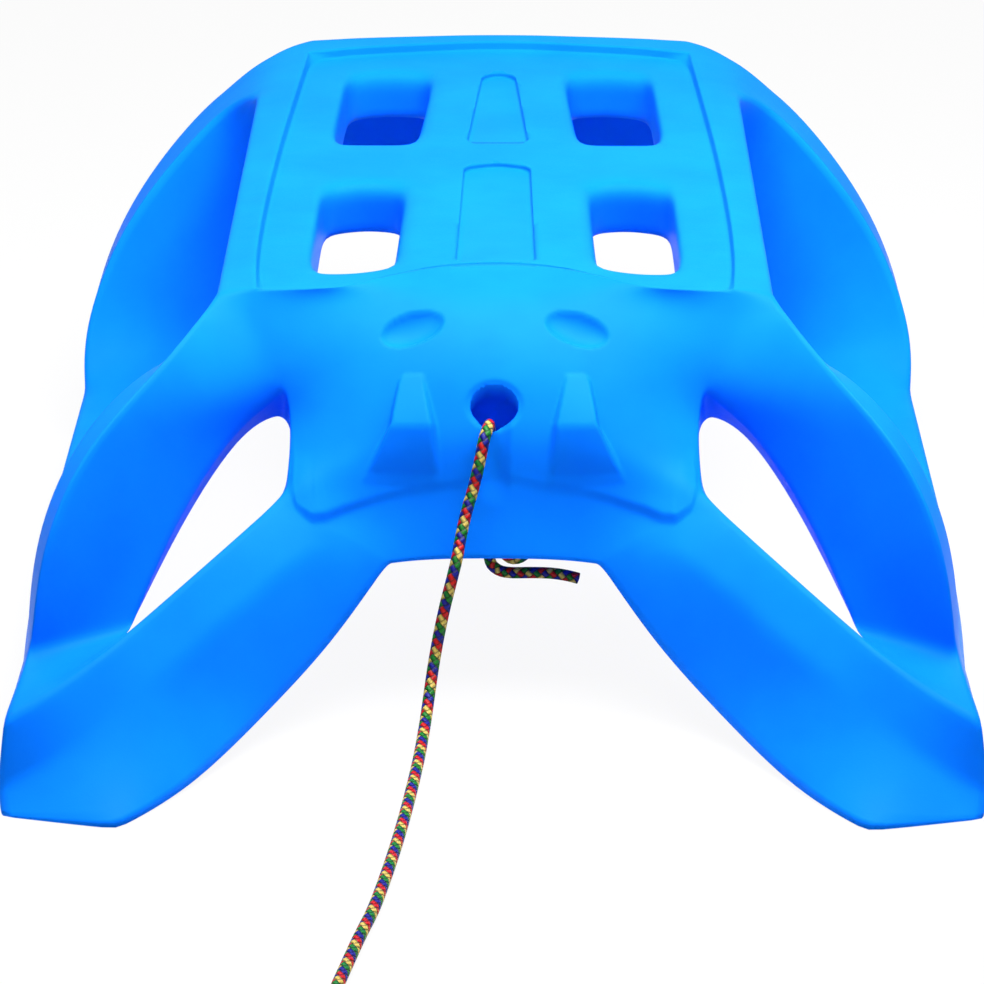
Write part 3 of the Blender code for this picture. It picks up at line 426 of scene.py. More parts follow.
def cord_mesh(name, route, start_length, surface):
    """A round cord swept along a route, with a UV map of turns round it and metres along it."""
    line, travelled = even_points(route, RING_STEP)
    line = [place(point) for point in line]
    shape = bmesh.new()
    spot_of = shape.verts.layers.int.new("spot")
    ring_of = shape.verts.layers.int.new("ring")
    radius = ROPE_DIAMETER / 2.0 * MM
    ring = bmesh.ops.create_circle(shape, cap_ends=False, segments=ROPE_SIDES, radius=radius)["verts"]
    for vertex in ring:
        turn = math.atan2(vertex.co.y, vertex.co.x) / (2.0 * math.pi)
        vertex[spot_of] = round(turn * ROPE_SIDES) % ROPE_SIDES
    ahead = (line[1] - line[0]).normalized()
    frame_now = Matrix.Translation(line[0]) @ ahead.to_track_quat("Z", "Y").to_matrix().to_4x4()
    bmesh.ops.transform(shape, matrix=frame_now, verts=ring)
    first_edges = list(shape.edges)
    edges = first_edges
    for number in range(1, len(line)):
        before = ahead
        after = line[min(number + 1, len(line) - 1)] - line[number - 1]
        ahead = after.normalized()
        turn = before.rotation_difference(ahead).to_matrix().to_4x4()
        grown = bmesh.ops.extrude_edge_only(shape, edges=edges)["geom"]
        ring = [item for item in grown if isinstance(item, bmesh.types.BMVert)]
        edges = [item for item in grown if isinstance(item, bmesh.types.BMEdge)]
        step = Matrix.Translation(line[number]) @ turn @ Matrix.Translation(-line[number - 1])
        bmesh.ops.transform(shape, matrix=step, verts=ring)
        for vertex in ring:
            vertex[ring_of] = number
    for loop in (first_edges, edges):
        bmesh.ops.edgeloop_fill(shape, edges=loop)
    bmesh.ops.recalc_face_normals(shape, faces=shape.faces)
    uv = shape.loops.layers.uv.new("cord")
    for face in shape.faces:
        spots = [loop.vert[spot_of] for loop in face.loops]
        wraps = max(spots) - min(spots) > ROPE_SIDES / 2 and len(spots) == 4
        for loop, spot in zip(face.loops, spots):
            turns = (spot + ROPE_SIDES if wraps and spot < ROPE_SIDES / 2 else spot) / ROPE_SIDES
            along_cord = start_length + travelled[loop.vert[ring_of]] * MM
            loop[uv].uv = (turns, along_cord)
    mesh = mesh_of(name, shape)
    mesh.materials.append(surface)
    mesh.shade_smooth()
    piece = add_object(name, mesh)
    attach(piece, "root")
    return piece, line, start_length + travelled[-1] * MM


class Cage:
    """A half hull of named corner points, joined into quads and mirrored later."""

    def __init__(self):
        self.mesh = bmesh.new()
        self.edge_crease = self.mesh.edges.layers.float.new("crease_edge")
        self.corner_crease = self.mesh.verts.layers.float.new("crease_vert")
        self.points = {}
        self.held = []
        self.pinned = []

    def point(self, name, position):
        self.points[name] = self.mesh.verts.new(place(position))

    def section(self, kind, station, spots):
        """Add one closed section of a limb and return the names of its points."""
        names = [(kind, station, number) for number in range(len(spots))]
        for name, spot in zip(names, spots):
            self.point(name, spot)
        return names

    def quad(self, *names):
        self.mesh.faces.new([self.points[name] for name in names])

    def strip(self, first, second):
        """Join two equally long rows of names with quads."""
        for a, b, c, d in zip(first, first[1:], second[1:], second):
            self.quad(a, b, c, d)

    def ring(self, first, second):
        self.strip(first + first[:1], second + second[:1])

    def tube(self, rings, gaps):
        """Join eight-sided sections with quads, apart from the (section, side) pairs in gaps."""
        for number, (first, second) in enumerate(zip(rings, rings[1:])):
            for spot in range(8):
                following = (spot + 1) % 8
                if (number, spot) not in gaps:
                    self.quad(first[spot], first[following], second[following], second[spot])

    def cap(self, last, name, position):
        """Close an eight-sided section with four quads round one point."""
        self.point(name, position)
        for spot in range(0, 8, 2):
            self.quad(last[spot], last[(spot + 1) % 8], name, last[spot - 1])

    def hold(self, names, sharpness):
        """Ask for the edges along a row of names to stay crisp when the cage is subdivided."""
        self.held += [(a, b, sharpness) for a, b in zip(names, names[1:])]

    def pin(self, name, sharpness):
        """Ask for one corner point to stay where it is when the cage is subdivided."""
        self.pinned.append((name, sharpness))

    def finish(self, name):
        for a, b, sharpness in self.held:
            edge = self.mesh.edges.get((self.points[a], self.points[b]))
            edge[self.edge_crease] = sharpness
        for corner, sharpness in self.pinned:
            self.points[corner][self.corner_crease] = sharpness
        bmesh.ops.recalc_face_normals(self.mesh, faces=self.mesh.faces)
        return mesh_of(name, self.mesh)


# The grid of the deck and head: row 0 is the rear edge, the last row the nose's lower edge
SLOT_COLUMNS = (2, 4)
SLOT_MIDDLE = 3
STEP_COLUMN = 6
SIDE = 8
REAR_SLOT_ROWS = (3, 5)
FRONT_SLOT_ROWS = (7, 9)
CREST_ROW = 11
WINDOW_ROWS = (13, 17)
NOSE_ROW = 19
LEG_ROW = 3

# Rows that run straight across, the front slots' front edge by column, and where the rear
# leg's front edge meets the deck's side
CROSS_ROWS = {4: 688.0, 5: REAR_SLOT[1], 6: 553.0, 8: 428.0}
FRONT_EDGE = ((0, 368.0), (1, 362.0), (2, 348.0), (3, 339.0), (4, 342.0), (5, 340.0))
LEG_FRONT = 706.0


def crest_line(x):
    """The y of the head's rear edge, which bows back over the seat panel."""
    share = min(abs(x) / CREST_HALF_WIDTH, 1.0)
    return DECK_FRONT - CREST_SETBACK + CREST_BOW * (1.0 - share * share)


def column_x(column, y):
    inner = along(SLOT_INNER, y)
    outer = along(SLOT_OUTER, y)
    step = along(PANEL_EDGE, y)
    middle = (inner + outer) / 2.0
    stops = (0.0, MIDDLE_COLUMN, inner, middle, outer, step - PANEL_INSET, step - PANEL_STEP, step)
    return (stops + (DECK_HALF_WIDTH,))[column]


def deck_row_y(row, column):
    x = column_x(column, FRONT_SLOT[1])
    share = (x / DECK_HALF_WIDTH) ** 2
    bow = SLOT_BOW if column <= SLOT_MIDDLE else 0.0
    if column == SLOT_MIDDLE - 1:
        bow = SLOT_BOW / 3.0
    if row == 0:
        return DECK_REAR - DECK_REAR_BOW * share - (DECK_REAR_CORNER if column == SIDE else 0.0)
    if row == 1:
        return PANEL_REAR - PANEL_REAR_BOW * share
    if row == 2:
        return PANEL_REAR - PANEL_REAR_BOW * share - PANEL_STEP
    if row == LEG_ROW:
        return along([(STEP_COLUMN, REAR_SLOT[0]), (SIDE, LEG_FRONT)], column) + bow
    if row == FRONT_SLOT_ROWS[0]:
        return FRONT_SLOT[0] + bow
    if row == FRONT_SLOT_ROWS[1]:
        return along(FRONT_EDGE, column)
    if row == 10:
        return crest_line(x) + PANEL_STEP
    if row == CREST_ROW:
        return crest_line(x)
    return CROSS_ROWS[row]


def deck_point(row, column):
    y = deck_row_y(row, column)
    x = column_x(column, y)
    on_panel = 2 <= row <= 10 and column <= STEP_COLUMN
    z = DECK_TOP - PANEL_DROP if on_panel else DECK_TOP
    if column == SIDE:
        z = DECK_TOP - SIDE_ROLL
    return (x, y, z)


# Head rows: the middle of the face and its side, from the crest down to the nose's lower edge
HEAD_MIDDLE = {
    12: (0.0, 294.0, 217.0),
    13: (0.0, 263.0, 205.0),
    14: (0.0, 236.0, 188.0),
    15: (0.0, 220.0, 169.0),
    16: (0.0, 208.0, 150.0),
    17: (0.0, 205.0, 127.5),
    18: (0.0, 198.0, 105.7),
    19: (0.0, 188.0, 83.5),
}
HEAD_SIDE = {
    12: (152.0, 264.0, 198.0),
    13: (125.0, 251.0, 171.0),
    14: (123.0, 244.0, 151.5),
    15: (122.0, 228.0, 141.0),
    16: (123.5, 198.0, 123.0),
    17: (134.0, 178.0, 118.0),
    18: (96.0, 176.0, 106.5),
    19: (64.0, 178.0, 84.0),
}
HEAD_SHARES = (0.0, 0.16, 0.34, 0.5, 0.66, 0.76, 0.86, 0.94, 1.0)
HEAD_ROUNDING = 3.0
# How far the inner face leans back from straight under the outer one, in degrees
HEAD_LEAN = {12: 15.0, 13: 30.0, 14: 42.0, 15: 52.0, 16: 60.0, 17: 66.0, 18: 72.0, 19: 80.0}
HEAD_DEPTH = {12: 34.0, 13: 34.0, 14: 37.0, 15: 42.0, 16: 43.0, 17: 36.0, 18: 30.0, 19: 27.0}


def outer_point(row, column):
    if row <= CREST_ROW:
        return deck_point(row, column)
    middle = HEAD_MIDDLE[row]
    side = HEAD_SIDE[row]
    share = HEAD_SHARES[column]
    fall = share ** HEAD_ROUNDING
    y = middle[1] + (side[1] - middle[1]) * fall
    z = middle[2] + (side[2] - middle[2]) * fall
    return (side[0] * share, y, z)


def inner_point(row, column):
    x, y, z = outer_point(row, column)
    if row <= CREST_ROW:
        return (x, y, DECK_TOP - DECK_DEPTH)
    lean = math.radians(HEAD_LEAN[row])
    depth = HEAD_DEPTH[row]
    return (x, y + depth * math.sin(lean), z - depth * math.cos(lean))


def wall_middle(row, column):
    return blend(outer_point(row, column), inner_point(row, column), 0.5)


def in_slot(row, column):
    between_columns = SLOT_COLUMNS[0] <= column < SLOT_COLUMNS[1]
    between_rows = any(low <= row < high for low, high in (REAR_SLOT_ROWS, FRONT_SLOT_ROWS))
    return between_columns and between_rows


def add_slab(cage):
    """The deck and the head: an outer and an inner grid with walls round every edge."""
    rows = range(NOSE_ROW + 1)
    columns = range(SIDE + 1)
    for row in rows:
        for column in columns:
            cage.point(("o", row, column), outer_point(row, column))
            cage.point(("i", row, column), inner_point(row, column))
        cage.point(("m", row, SIDE), wall_middle(row, SIDE))
    for row in (0, NOSE_ROW):
        for column in range(SIDE):
            cage.point(("m", row, column), wall_middle(row, column))
    for row in range(NOSE_ROW):
        for column in range(SIDE):
            if in_slot(row, column):
                continue
            corners = ((row, column), (row, column + 1), (row + 1, column + 1), (row + 1, column))
            cage.quad(*[("o",) + corner for corner in corners])
            if row > 0:
                cage.quad(*[("i",) + corner for corner in reversed(corners)])
    for row in (0, NOSE_ROW):
        for layer, next_layer in (("o", "m"), ("m", "i")):
            first = [(layer, row, column) for column in columns]
            cage.strip(first, [(next_layer, row, column) for column in columns])
    for start, end in ((LEG_ROW, CREST_ROW), WINDOW_ROWS):
        for layer, next_layer in (("o", "m"), ("m", "i")):
            edge_rows = range(start, end + 1)
            first = [(layer, row, SIDE) for row in edge_rows]
            cage.strip(first, [(next_layer, row, SIDE) for row in edge_rows])


def slot_loop(rows):
    left, right = SLOT_COLUMNS
    middle = left + 1
    low, high = rows
    loop = [(low, left), (low, middle), (low, right), (low + 1, right)]
    return loop + [(high, right), (high, middle), (high, left), (low + 1, left)]


def add_slot_walls(cage):
    for rows in (REAR_SLOT_ROWS, FRONT_SLOT_ROWS):
        loop = slot_loop(rows)
        outer = [("o",) + corner for corner in loop]
        inner = [("i",) + corner for corner in loop]
        cage.ring(outer, inner)
        cage.hold(outer + outer[:1], 0.3)
        cage.hold(inner + inner[:1], 0.5)
        for corner in (0, 2, 4, 6):
            cage.hold([outer[corner], inner[corner]], 0.3)


def add_skirt(cage):
    """A wall hanging from the deck's rear edge, which ties the two rear legs together."""
    columns = range(SIDE + 1)
    for column in columns:
        x = column_x(column, DECK_REAR)
        drop = SKIRT_BOTTOM - SKIRT_ARCH * (x / DECK_HALF_WIDTH) ** 2
        cage.point(("k", 0, column), (x, deck_row_y(0, column) - SKIRT_SETBACK, drop))
        cage.point(("k", 1, column), (x, SKIRT_FRONT, drop))
    rear_top = [("i", 0, column) for column in columns]
    rear_bottom = [("k", 0, column) for column in columns]
    front_top = [("i", 1, column) for column in columns]
    front_bottom = [("k", 1, column) for column in columns]
    cage.strip(rear_top, rear_bottom)
    cage.strip(rear_bottom, front_bottom)
    cage.strip(front_bottom, front_top)
    cage.hold(rear_bottom, 0.6)
    cage.hold(front_bottom, 0.6)


SKIRT_BOTTOM = 138.0
SKIRT_ARCH = 12.0

# Arm sections from the deck corner to the foot: the rim's rear edge, the window's front edge
ARM_RIM = (
    (203.0, 228.0, 195.5), (243.5, 173.0, 168.5), (264.0, 131.0, 126.0), (269.0, 118.0, 81.5),
    (270.0, 116.0, 60.5),
)
ARM_WINDOW = (
    (135.4, 252.0, 157.5), (156.3, 242.0, 144.0), (184.0, 200.0, 112.5), (202.7, 162.0, 79.5),
    (213.4, 142.0, 55.5),
)
ARM_WINDOW_BACK = (
    (-2.0, 18.0, -14.0), (-2.0, 24.0, -11.0), (-2.0, 24.0, -11.0), (0.0, 24.0, -10.0),
    (2.0, 18.0, -6.0),
)
ARM_RIM_FRONT = (
    (-6.0, -24.0, 0.5), (-8.0, -22.0, 1.0), (-7.0, -20.0, 3.0), (-5.0, -18.0, 2.0), (-4.0, -18.0, 2.0),
)

# Beam sections from the nose to the foot's outer end: top edge, crease and lower edge
BEAM_TOP = (
    (167.0, 136.0, 101.8), (203.5, 98.0, 81.0), (220.5, 78.0, 73.5), (248.0, 54.0, 59.5),
    (276.0, 36.0, 48.0),
)
BEAM_CREASE = (
    (138.0, 136.0, 84.2), (179.0, 98.0, 58.5), (207.0, 72.0, 45.0), (238.5, 42.0, 26.0),
    (280.0, 30.0, 8.0),
)
BEAM_LOWER = (
    (93.5, 152.0, 44.0), (135.5, 112.0, 12.0), (171.5, 44.0, 0.0), (208.0, -7.0, 0.0),
    (277.0, 11.0, 0.0),
)
BEAM_TOP_BACK = (
    (174.0, 180.0, 76.0), (212.0, 146.0, 54.0), (222.0, 152.0, 40.0), (250.0, 154.0, 40.0),
    (276.0, 154.0, 38.0),
)
BEAM_MIDDLE_BACK = (
    (150.0, 178.0, 58.0), (190.0, 138.0, 32.0), (222.0, 148.0, 20.0), (250.0, 154.0, 20.0),
    (279.0, 154.0, 20.0),
)
BEAM_LOWER_BACK = (
    (111.0, 184.0, 46.0), (151.0, 142.0, 16.0), (207.0, 120.0, 0.0), (250.0, 142.0, 0.0),
    (279.0, 144.0, 0.0),
)
# The crease stands a little further toward the front than in the plain hull, by station, in mm
CREASE_FORWARD = (2.0, 7.0, 8.0, 7.0, 2.0)
CREASE_RISE = 0.4
FOOT_CORNER = ("beam", 3, 2)
WINDOW_CORNER = ("o", WINDOW_ROWS[1] - 1, SIDE)
FOOT_CAP = (280.0, 84.0, 20.0)

# Rear leg sections, from the deck down: rear outer, front outer, front inner and rear inner corner
LEG_SECTIONS = (
    ((193.0, 806.0, 198.0), (192.0, 738.0, 200.0), (168.0, 742.0, 112.0), (168.0, 834.0, 108.0)),
    ((234.0, 757.0, 166.0), (230.0, 706.0, 167.0), (174.0, 722.0, 66.0), (178.0, 782.0, 66.0)),
    ((269.0, 700.0, 124.0), (267.0, 664.0, 125.0), (192.0, 694.0, 44.0), (198.0, 740.0, 44.0)),
    ((288.0, 676.0, 66.0), (289.0, 630.0, 67.0), (214.0, 640.0, 42.0), (216.0, 700.0, 42.0)),
)
LEG_OUTER_SHARES = (0.0, 0.15, 0.4, 0.6, 1.0)
LEG_INNER_SHARES = (0.0, 0.25, 0.5, 0.75, 1.0)

RUNNER_OUTER = 287.0
RUNNER_DRAFT = 3.0
RUNNER_INNER = 228.0
RUNNER_STATIONS = (230.0, 330.0, 430.0, 520.0, 588.0, 610.0, 632.0, 654.0, 678.0, 735.0, 790.0)
LEG_STATIONS = (4, 8)
RUNNER_TAIL_RISE = 12.0
RUNNER_TAIL_FALL = 6.0
RUNNER_TAIL_TAPER = 0.3
RUNNER_TAIL_CAP = 4.0


def side_port(start, end):
    """The closed loop on the head's side wall, three rows long, that a limb grows from."""
    middle = start + 1
    port = [("o", start, SIDE), ("o", middle, SIDE), ("o", end, SIDE), ("m", end, SIDE)]
    return port + [("i", end, SIDE), ("i", middle, SIDE), ("i", start, SIDE), ("m", start, SIDE)]


def add_arm(cage):
    """The arch over the handle window, from the deck's front corner down to the foot."""
    rings = [side_port(CREST_ROW, WINDOW_ROWS[0])]
    for station, rim_back in enumerate(ARM_RIM):
        rim = shifted(rim_back, ARM_RIM_FRONT[station])
        window = ARM_WINDOW[station]
        window_back = shifted(window, ARM_WINDOW_BACK[station])
        spots = (rim, blend(rim, window, 0.5), window, blend(window, window_back, 0.5))
        spots += (window_back, blend(window_back, rim_back, 0.5), rim_back, blend(rim_back, rim, 0.5))
        rings.append(cage.section("arm", station, spots))
    last = len(BEAM_TOP) - 1
    foot = [("beam", last, 0), ("beam", last - 1, 0), ("beam", last - 2, 0), ("beam", last - 2, 7)]
    foot += [("beam", last - 2, 6), ("beam", last - 1, 6), ("beam", last, 6), ("beam", last, 7)]
    rings.append(foot)
    for first, second in zip(rings, rings[1:]):
        cage.ring(first, second)
    for spot, sharpness in ((0, 0.5), (2, 0.6), (4, 0.5), (6, 0.7)):
        cage.hold([ring[spot] for ring in rings], sharpness)
    cage.hold(rings[-2][:3], 0.4)


def add_beam(cage):
    """The front beam, from the nose down and out to the foot."""
    rings = [side_port(WINDOW_ROWS[1], NOSE_ROW)]
    chains = (BEAM_TOP, BEAM_CREASE, BEAM_LOWER, BEAM_LOWER_BACK, BEAM_MIDDLE_BACK, BEAM_TOP_BACK)
    for station, corners in enumerate(zip(*chains)):
        top, crease, lower, lower_back, middle_back, top_back = corners
        forward = CREASE_FORWARD[station]
        crease = (crease[0], crease[1] - forward, crease[2] + CREASE_RISE * forward)
        spots = (top, crease, lower, blend(lower, lower_back, 0.5))
        spots += (lower_back, middle_back, top_back, blend(top_back, top, 0.5))
        rings.append(cage.section("beam", station, spots))
    in_foot = range(len(rings) - 3, len(rings) - 1)
    cage.tube(rings, {(number, side) for number in in_foot for side in (4, 5, 6, 7)})
    last = rings[-1]
    cage.cap(last, "foot cap", FOOT_CAP)
    for spot, sharpness in ((0, 0.85), (1, 0.85), (2, 0.7), (4, 0.6), (6, 0.5)):
        cage.hold([ring[spot] for ring in rings], sharpness)
    cage.pin(FOOT_CORNER, 0.75)
    cage.pin(WINDOW_CORNER, 0.7)
    cage.hold([last[0], last[1], last[2], last[3], last[4]], 0.6)


def runner_spots(y):
    """A runner's section at one y: corners and mid-sides, from the outer top edge inward."""
    tail = along([(RUNNER_STATIONS[-2], 0.0), (RUNNER_STATIONS[-1], 1.0)], y)
    rise = RUNNER_TAIL_RISE * tail
    middle = (RUNNER_OUTER + RUNNER_INNER) / 2.0
    half = RUNNER_TOP / 2.0
    shoulder = RUNNER_OUTER - RUNNER_DRAFT
    outside = RUNNER_OUTER - RUNNER_DRAFT / 2.0
    across = (shoulder, middle, RUNNER_INNER, RUNNER_INNER, RUNNER_INNER, middle, RUNNER_OUTER, outside)
    top = RUNNER_TOP - RUNNER_TAIL_FALL * tail
    half += (rise - RUNNER_TAIL_FALL * tail) / 2.0
    heights = (top, top, top, half, rise, rise, rise, half)
    across = [middle + (x - middle) * (1.0 - RUNNER_TAIL_TAPER * tail) for x in across]
    return [(x, y, z) for x, z in zip(across, heights)]


def add_runner(cage):
    """The ground rail from the foot to the tail, left open on top where the rear leg stands."""
    port = [("beam", 4, 6), ("beam", 3, 6), ("beam", 2, 6), ("beam", 2, 5)]
    port += [("beam", 2, 4), ("beam", 3, 4), ("beam", 4, 4), ("beam", 4, 5)]
    rings = [port]
    for station, y in enumerate(RUNNER_STATIONS):
        rings.append(cage.section("runner", station, runner_spots(y)))
    low, high = LEG_STATIONS
    cage.tube(rings, {(number, side) for number in range(low + 1, high + 1) for side in (0, 1)})
    last = rings[-1]
    tail_height = (RUNNER_TOP + RUNNER_TAIL_RISE - RUNNER_TAIL_FALL) / 2.0
    tail_middle = (RUNNER_OUTER + RUNNER_INNER) / 2.0
    cage.cap(last, "tail cap", (tail_middle, RUNNER_STATIONS[-1] + RUNNER_TAIL_CAP, tail_height))
    for spot in (0, 2, 4, 6):
        cage.hold([ring[spot] for ring in rings[1:]], 0.6)
    cage.hold(last + last[:1], 0.3)


def add_leg(cage):
    """The rear leg, a plate that sweeps from the deck's rear corner forward to the runner."""
    port = [("m", 0, SIDE)] + [("o", row, SIDE) for row in range(LEG_ROW + 1)]
    port += [("m", LEG_ROW, SIDE), ("i", LEG_ROW, SIDE), ("i", 2, SIDE), ("i", 1, SIDE)]
    port += [("k", 1, SIDE), ("k", 0, SIDE), ("i", 0, SIDE)]
    rings = [port]
    for station, (rear_outer, front_outer, front_inner, rear_inner) in enumerate(LEG_SECTIONS):
        spots = [blend(rear_outer, front_outer, share) for share in LEG_OUTER_SHARES]
        spots += [blend(front_outer, front_inner, 0.5)]
        spots += [blend(front_inner, rear_inner, share) for share in LEG_INNER_SHARES]
        spots += [blend(rear_inner, rear_outer, 0.5)]
        rings.append(cage.section("leg", station, spots))
    low, high = LEG_STATIONS
    seat = [("runner", station, 0) for station in range(high, low - 1, -1)]
    seat += [("runner", low, 1)]
    seat += [("runner", station, 2) for station in range(low, high + 1)]
    seat += [("runner", high, 1)]
    rings.append(seat)
    for first, second in zip(rings, rings[1:]):
        cage.ring(first, second)
    for spot, sharpness in ((0, 0.6), (4, 0.7), (6, 0.6), (10, 0.6)):
        cage.hold([ring[spot] for ring in rings], sharpness)


def hold_edges(cage):
    """Crisp lines of the deck and head: panel step, outer edges, window side and nose."""
    step_rows = (1, 2, 10, CREST_ROW)
    for row in step_rows:
        last = STEP_COLUMN + (1 if row in (1, CREST_ROW) else 0)
        cage.hold([("o", row, column) for column in range(last + 1)], 0.6)
    cage.hold([("o", row, STEP_COLUMN) for row in range(2, 11)], 0.6)
    cage.hold([("o", row, STEP_COLUMN + 1) for row in range(1, CREST_ROW + 1)], 0.6)
    for layer, sharpness in (("o", 0.5), ("i", 0.6)):
        cage.hold([(layer, row, SIDE) for row in range(LEG_ROW, CREST_ROW + 1)], sharpness)
        cage.hold([(layer, 0, column) for column in range(SIDE + 1)], sharpness)
        cage.hold([(layer, row, SIDE) for row in range(WINDOW_ROWS[0], WINDOW_ROWS[1] + 1)], sharpness)
        cage.hold([(layer, NOSE_ROW, column) for column in range(SIDE + 1)], sharpness)


# Details of the head's face. ACROSS is x from the middle, DOWN is counted along the sloping
# face from the rope hole's centre, both in millimetres
FACE_SLOPE = math.radians(37.0)
HOLE_SLOPE = math.radians(66.0)
HOLE_CENTRE = (0.0, 220.7, 169.0)
FACE_OUT = Vector((0.0, -math.cos(FACE_SLOPE), math.sin(FACE_SLOPE)))
FACE_DOWN = Vector((0.0, -math.sin(FACE_SLOPE), -math.cos(FACE_SLOPE)))
SMOOTH_LEVELS = 3

RIDGE_HEIGHT = ((-20.5, 0.0), (-19.0, 1.0), (13.0, 10.0), (16.0, 9.8), (30.0, 5.0), (40.0, 1.2), (47.0, 0.0))
RIDGE_INNER_TOP = ((-20.0, 43.5), (13.0, 37.7), (44.0, 37.0))
RIDGE_INNER_FOOT = ((-20.0, 42.5), (13.0, 33.5), (44.0, 29.5))
RIDGE_OUTER_TOP = ((-20.0, 53.5), (-17.0, 55.5), (13.0, 59.4), (43.0, 75.5))
RIDGE_OUTER_FOOT = ((-20.0, 55.0), (-17.0, 57.5), (13.0, 63.0), (43.0, 79.5))
EYE_ACROSS = 49.5
EYE_DOWN = -52.0
EYE_TILT = math.radians(22.0)
EYE_HALF_LENGTH = 19.8
EYE_HALF_WIDTH = 11.3
EYE_DEPTH = 6.5
GROOVE_HALF_WIDTH = 10.5
GROOVE_DEPTH = 4.5
GROOVE_END = 50.0
# The fold under the head's bulge, as (across, down) stops, and how far the bulge stands out
FOLD = (
    (0.0, 45.0), (8.0, 45.5), (27.0, 49.5), (51.0, 53.0), (70.0, 58.5), (89.0, 66.0), (100.0, 72.0),
    (108.0, 73.5), (117.0, 66.0), (121.0, 50.0),
)
BULGE_HEIGHT = ((0.0, 0.5), (25.0, 1.0), (50.0, 1.4), (70.0, 2.0), (92.0, 3.6), (106.0, 3.8), (122.0, 0.3))
HOLE_RIM_DIP = 1.6
BULGE_RISE = 46.0
BULGE_FALL = 7.0
# The part of the head's skin that is carved, and the smaller part that is split once more
SKIN_TOP, SKIN_BOTTOM, SKIN_HALF_WIDTH, SKIN_DEPTH, SKIN_FACING = -110.0, 84.0, 120.0, 32.0, 0.25
FINE_TOP, FINE_BOTTOM, FINE_HALF_WIDTH, FINE_DEPTH, FINE_FACING = -70.0, 78.0, 118.0, 24.0, 0.3


def ease(low, high, values):
    """0 at low and 1 at high, with a smooth start and end."""
    share = np.clip((values - low) / (high - low), 0.0, 1.0)
    return share * share * (3.0 - 2.0 * share)


def read_line(stops, values):
    return np.interp(values, [stop[0] for stop in stops], [stop[1] for stop in stops])


def carve_face(mesh):
    """Push the head's skin in and out for the ridges, the eyes and the rope's groove."""
    spots, normals = np.empty((2, len(mesh.vertices), 3))
    mesh.vertices.foreach_get("co", spots.reshape(-1))
    mesh.vertices.foreach_get("normal", normals.reshape(-1))
    from_hole = spots / MM + np.array([0.0, HALF_LENGTH, 0.0]) - np.array(HOLE_CENTRE)
    across = np.abs(from_hole[:, 0])
    down = from_hole @ np.array(FACE_DOWN)
    out = from_hole @ np.array(FACE_OUT)
    facing = normals @ np.array(FACE_OUT)
    skin = (out > -SKIN_DEPTH) & (facing > SKIN_FACING) & (across < SKIN_HALF_WIDTH)
    skin &= (down > SKIN_TOP) & (down < SKIN_BOTTOM)

    height = read_line(RIDGE_HEIGHT, down)
    inner = ease(read_line(RIDGE_INNER_FOOT, down), read_line(RIDGE_INNER_TOP, down), across)
    outer = 1.0 - ease(read_line(RIDGE_OUTER_TOP, down), read_line(RIDGE_OUTER_FOOT, down), across)
    lift = height * inner * outer

    long_way = (across - EYE_ACROSS) * math.cos(EYE_TILT) + (down - EYE_DOWN) * math.sin(EYE_TILT)
    short_way = (down - EYE_DOWN) * math.cos(EYE_TILT) - (across - EYE_ACROSS) * math.sin(EYE_TILT)
    round_eye = np.sqrt((long_way / EYE_HALF_LENGTH) ** 2 + (short_way / EYE_HALF_WIDTH) ** 2)
    scoop = np.clip(1.0 - round_eye ** 2, 0.0, 1.0)
    lift -= EYE_DEPTH * scoop ** 0.6

    width = np.clip(across / GROOVE_HALF_WIDTH, 0.0, 1.0)
    start = ease(2.0, 14.0, down)
    end = 1.0 - ease(GROOVE_END - 12.0, GROOVE_END + 8.0, down)
    lift -= GROOVE_DEPTH * ((1.0 - width ** 2) ** 1.5 * start * end)

    from_rim = np.hypot(across, down / HOLE_MOUTH_SQUASH)
    lift -= HOLE_RIM_DIP * (1.0 - ease(HOLE_MOUTH_RADIUS, HOLE_MOUTH_RADIUS + 4.0, from_rim))

    fold = read_line(FOLD, across)
    swell = ease(fold - BULGE_RISE, fold - BULGE_FALL, down) * (1.0 - ease(fold - BULGE_FALL, fold, down))
    lift += read_line(BULGE_HEIGHT, across) * swell

    moved = spots + normals * (lift * skin)[:, None] * MM
    mesh.vertices.foreach_set("co", moved.ravel())
    mesh.update()


def cutter(name, shape):
    bmesh.ops.recalc_face_normals(shape, faces=shape.faces)
    return add_object(name, mesh_of(name, shape))


HOLE_MOUTH_RADIUS = 14.4
HOLE_MOUTH_DEPTH = 26.0
HOLE_MOUTH_SQUASH = 0.9
ROPE_BORE_RADIUS = 10.4
ROPE_BORE_ASIDE = -2.6
HOLE_REACH = 25.0
HOLE_LENGTH = 68.0
HOLE_SIDES = 96


def round_cutter(name, radius, start, end, slope, aside=0.0, squash=1.0):
    """A rod along a line that falls by the slope, for the rope hole: round, or flatter than wide."""
    shape = bmesh.new()
    profile = [(0.0, start), (radius, start), (radius, end), (0.0, end)]
    corners = [shape.verts.new((across * MM, 0.0, depth * MM)) for across, depth in profile]
    edges = [shape.edges.new(pair) for pair in zip(corners, corners[1:])]
    bmesh.ops.spin(shape, geom=corners + edges, axis=(0.0, 0.0, 1.0), angle=2.0 * math.pi, steps=HOLE_SIDES,
                   use_merge=True)
    bmesh.ops.remove_doubles(shape, verts=shape.verts, dist=0.005 * MM)
    flat = Matrix.Diagonal((1.0, squash, 1.0, 1.0))
    turn = Matrix.Rotation(-(math.pi / 2.0 + slope), 4, "X")
    at = Matrix.Translation(place(HOLE_CENTRE) + Vector((aside * MM, 0.0, 0.0)))
    bmesh.ops.transform(shape, matrix=at @ turn @ flat, verts=shape.verts)
    return cutter(name, shape)


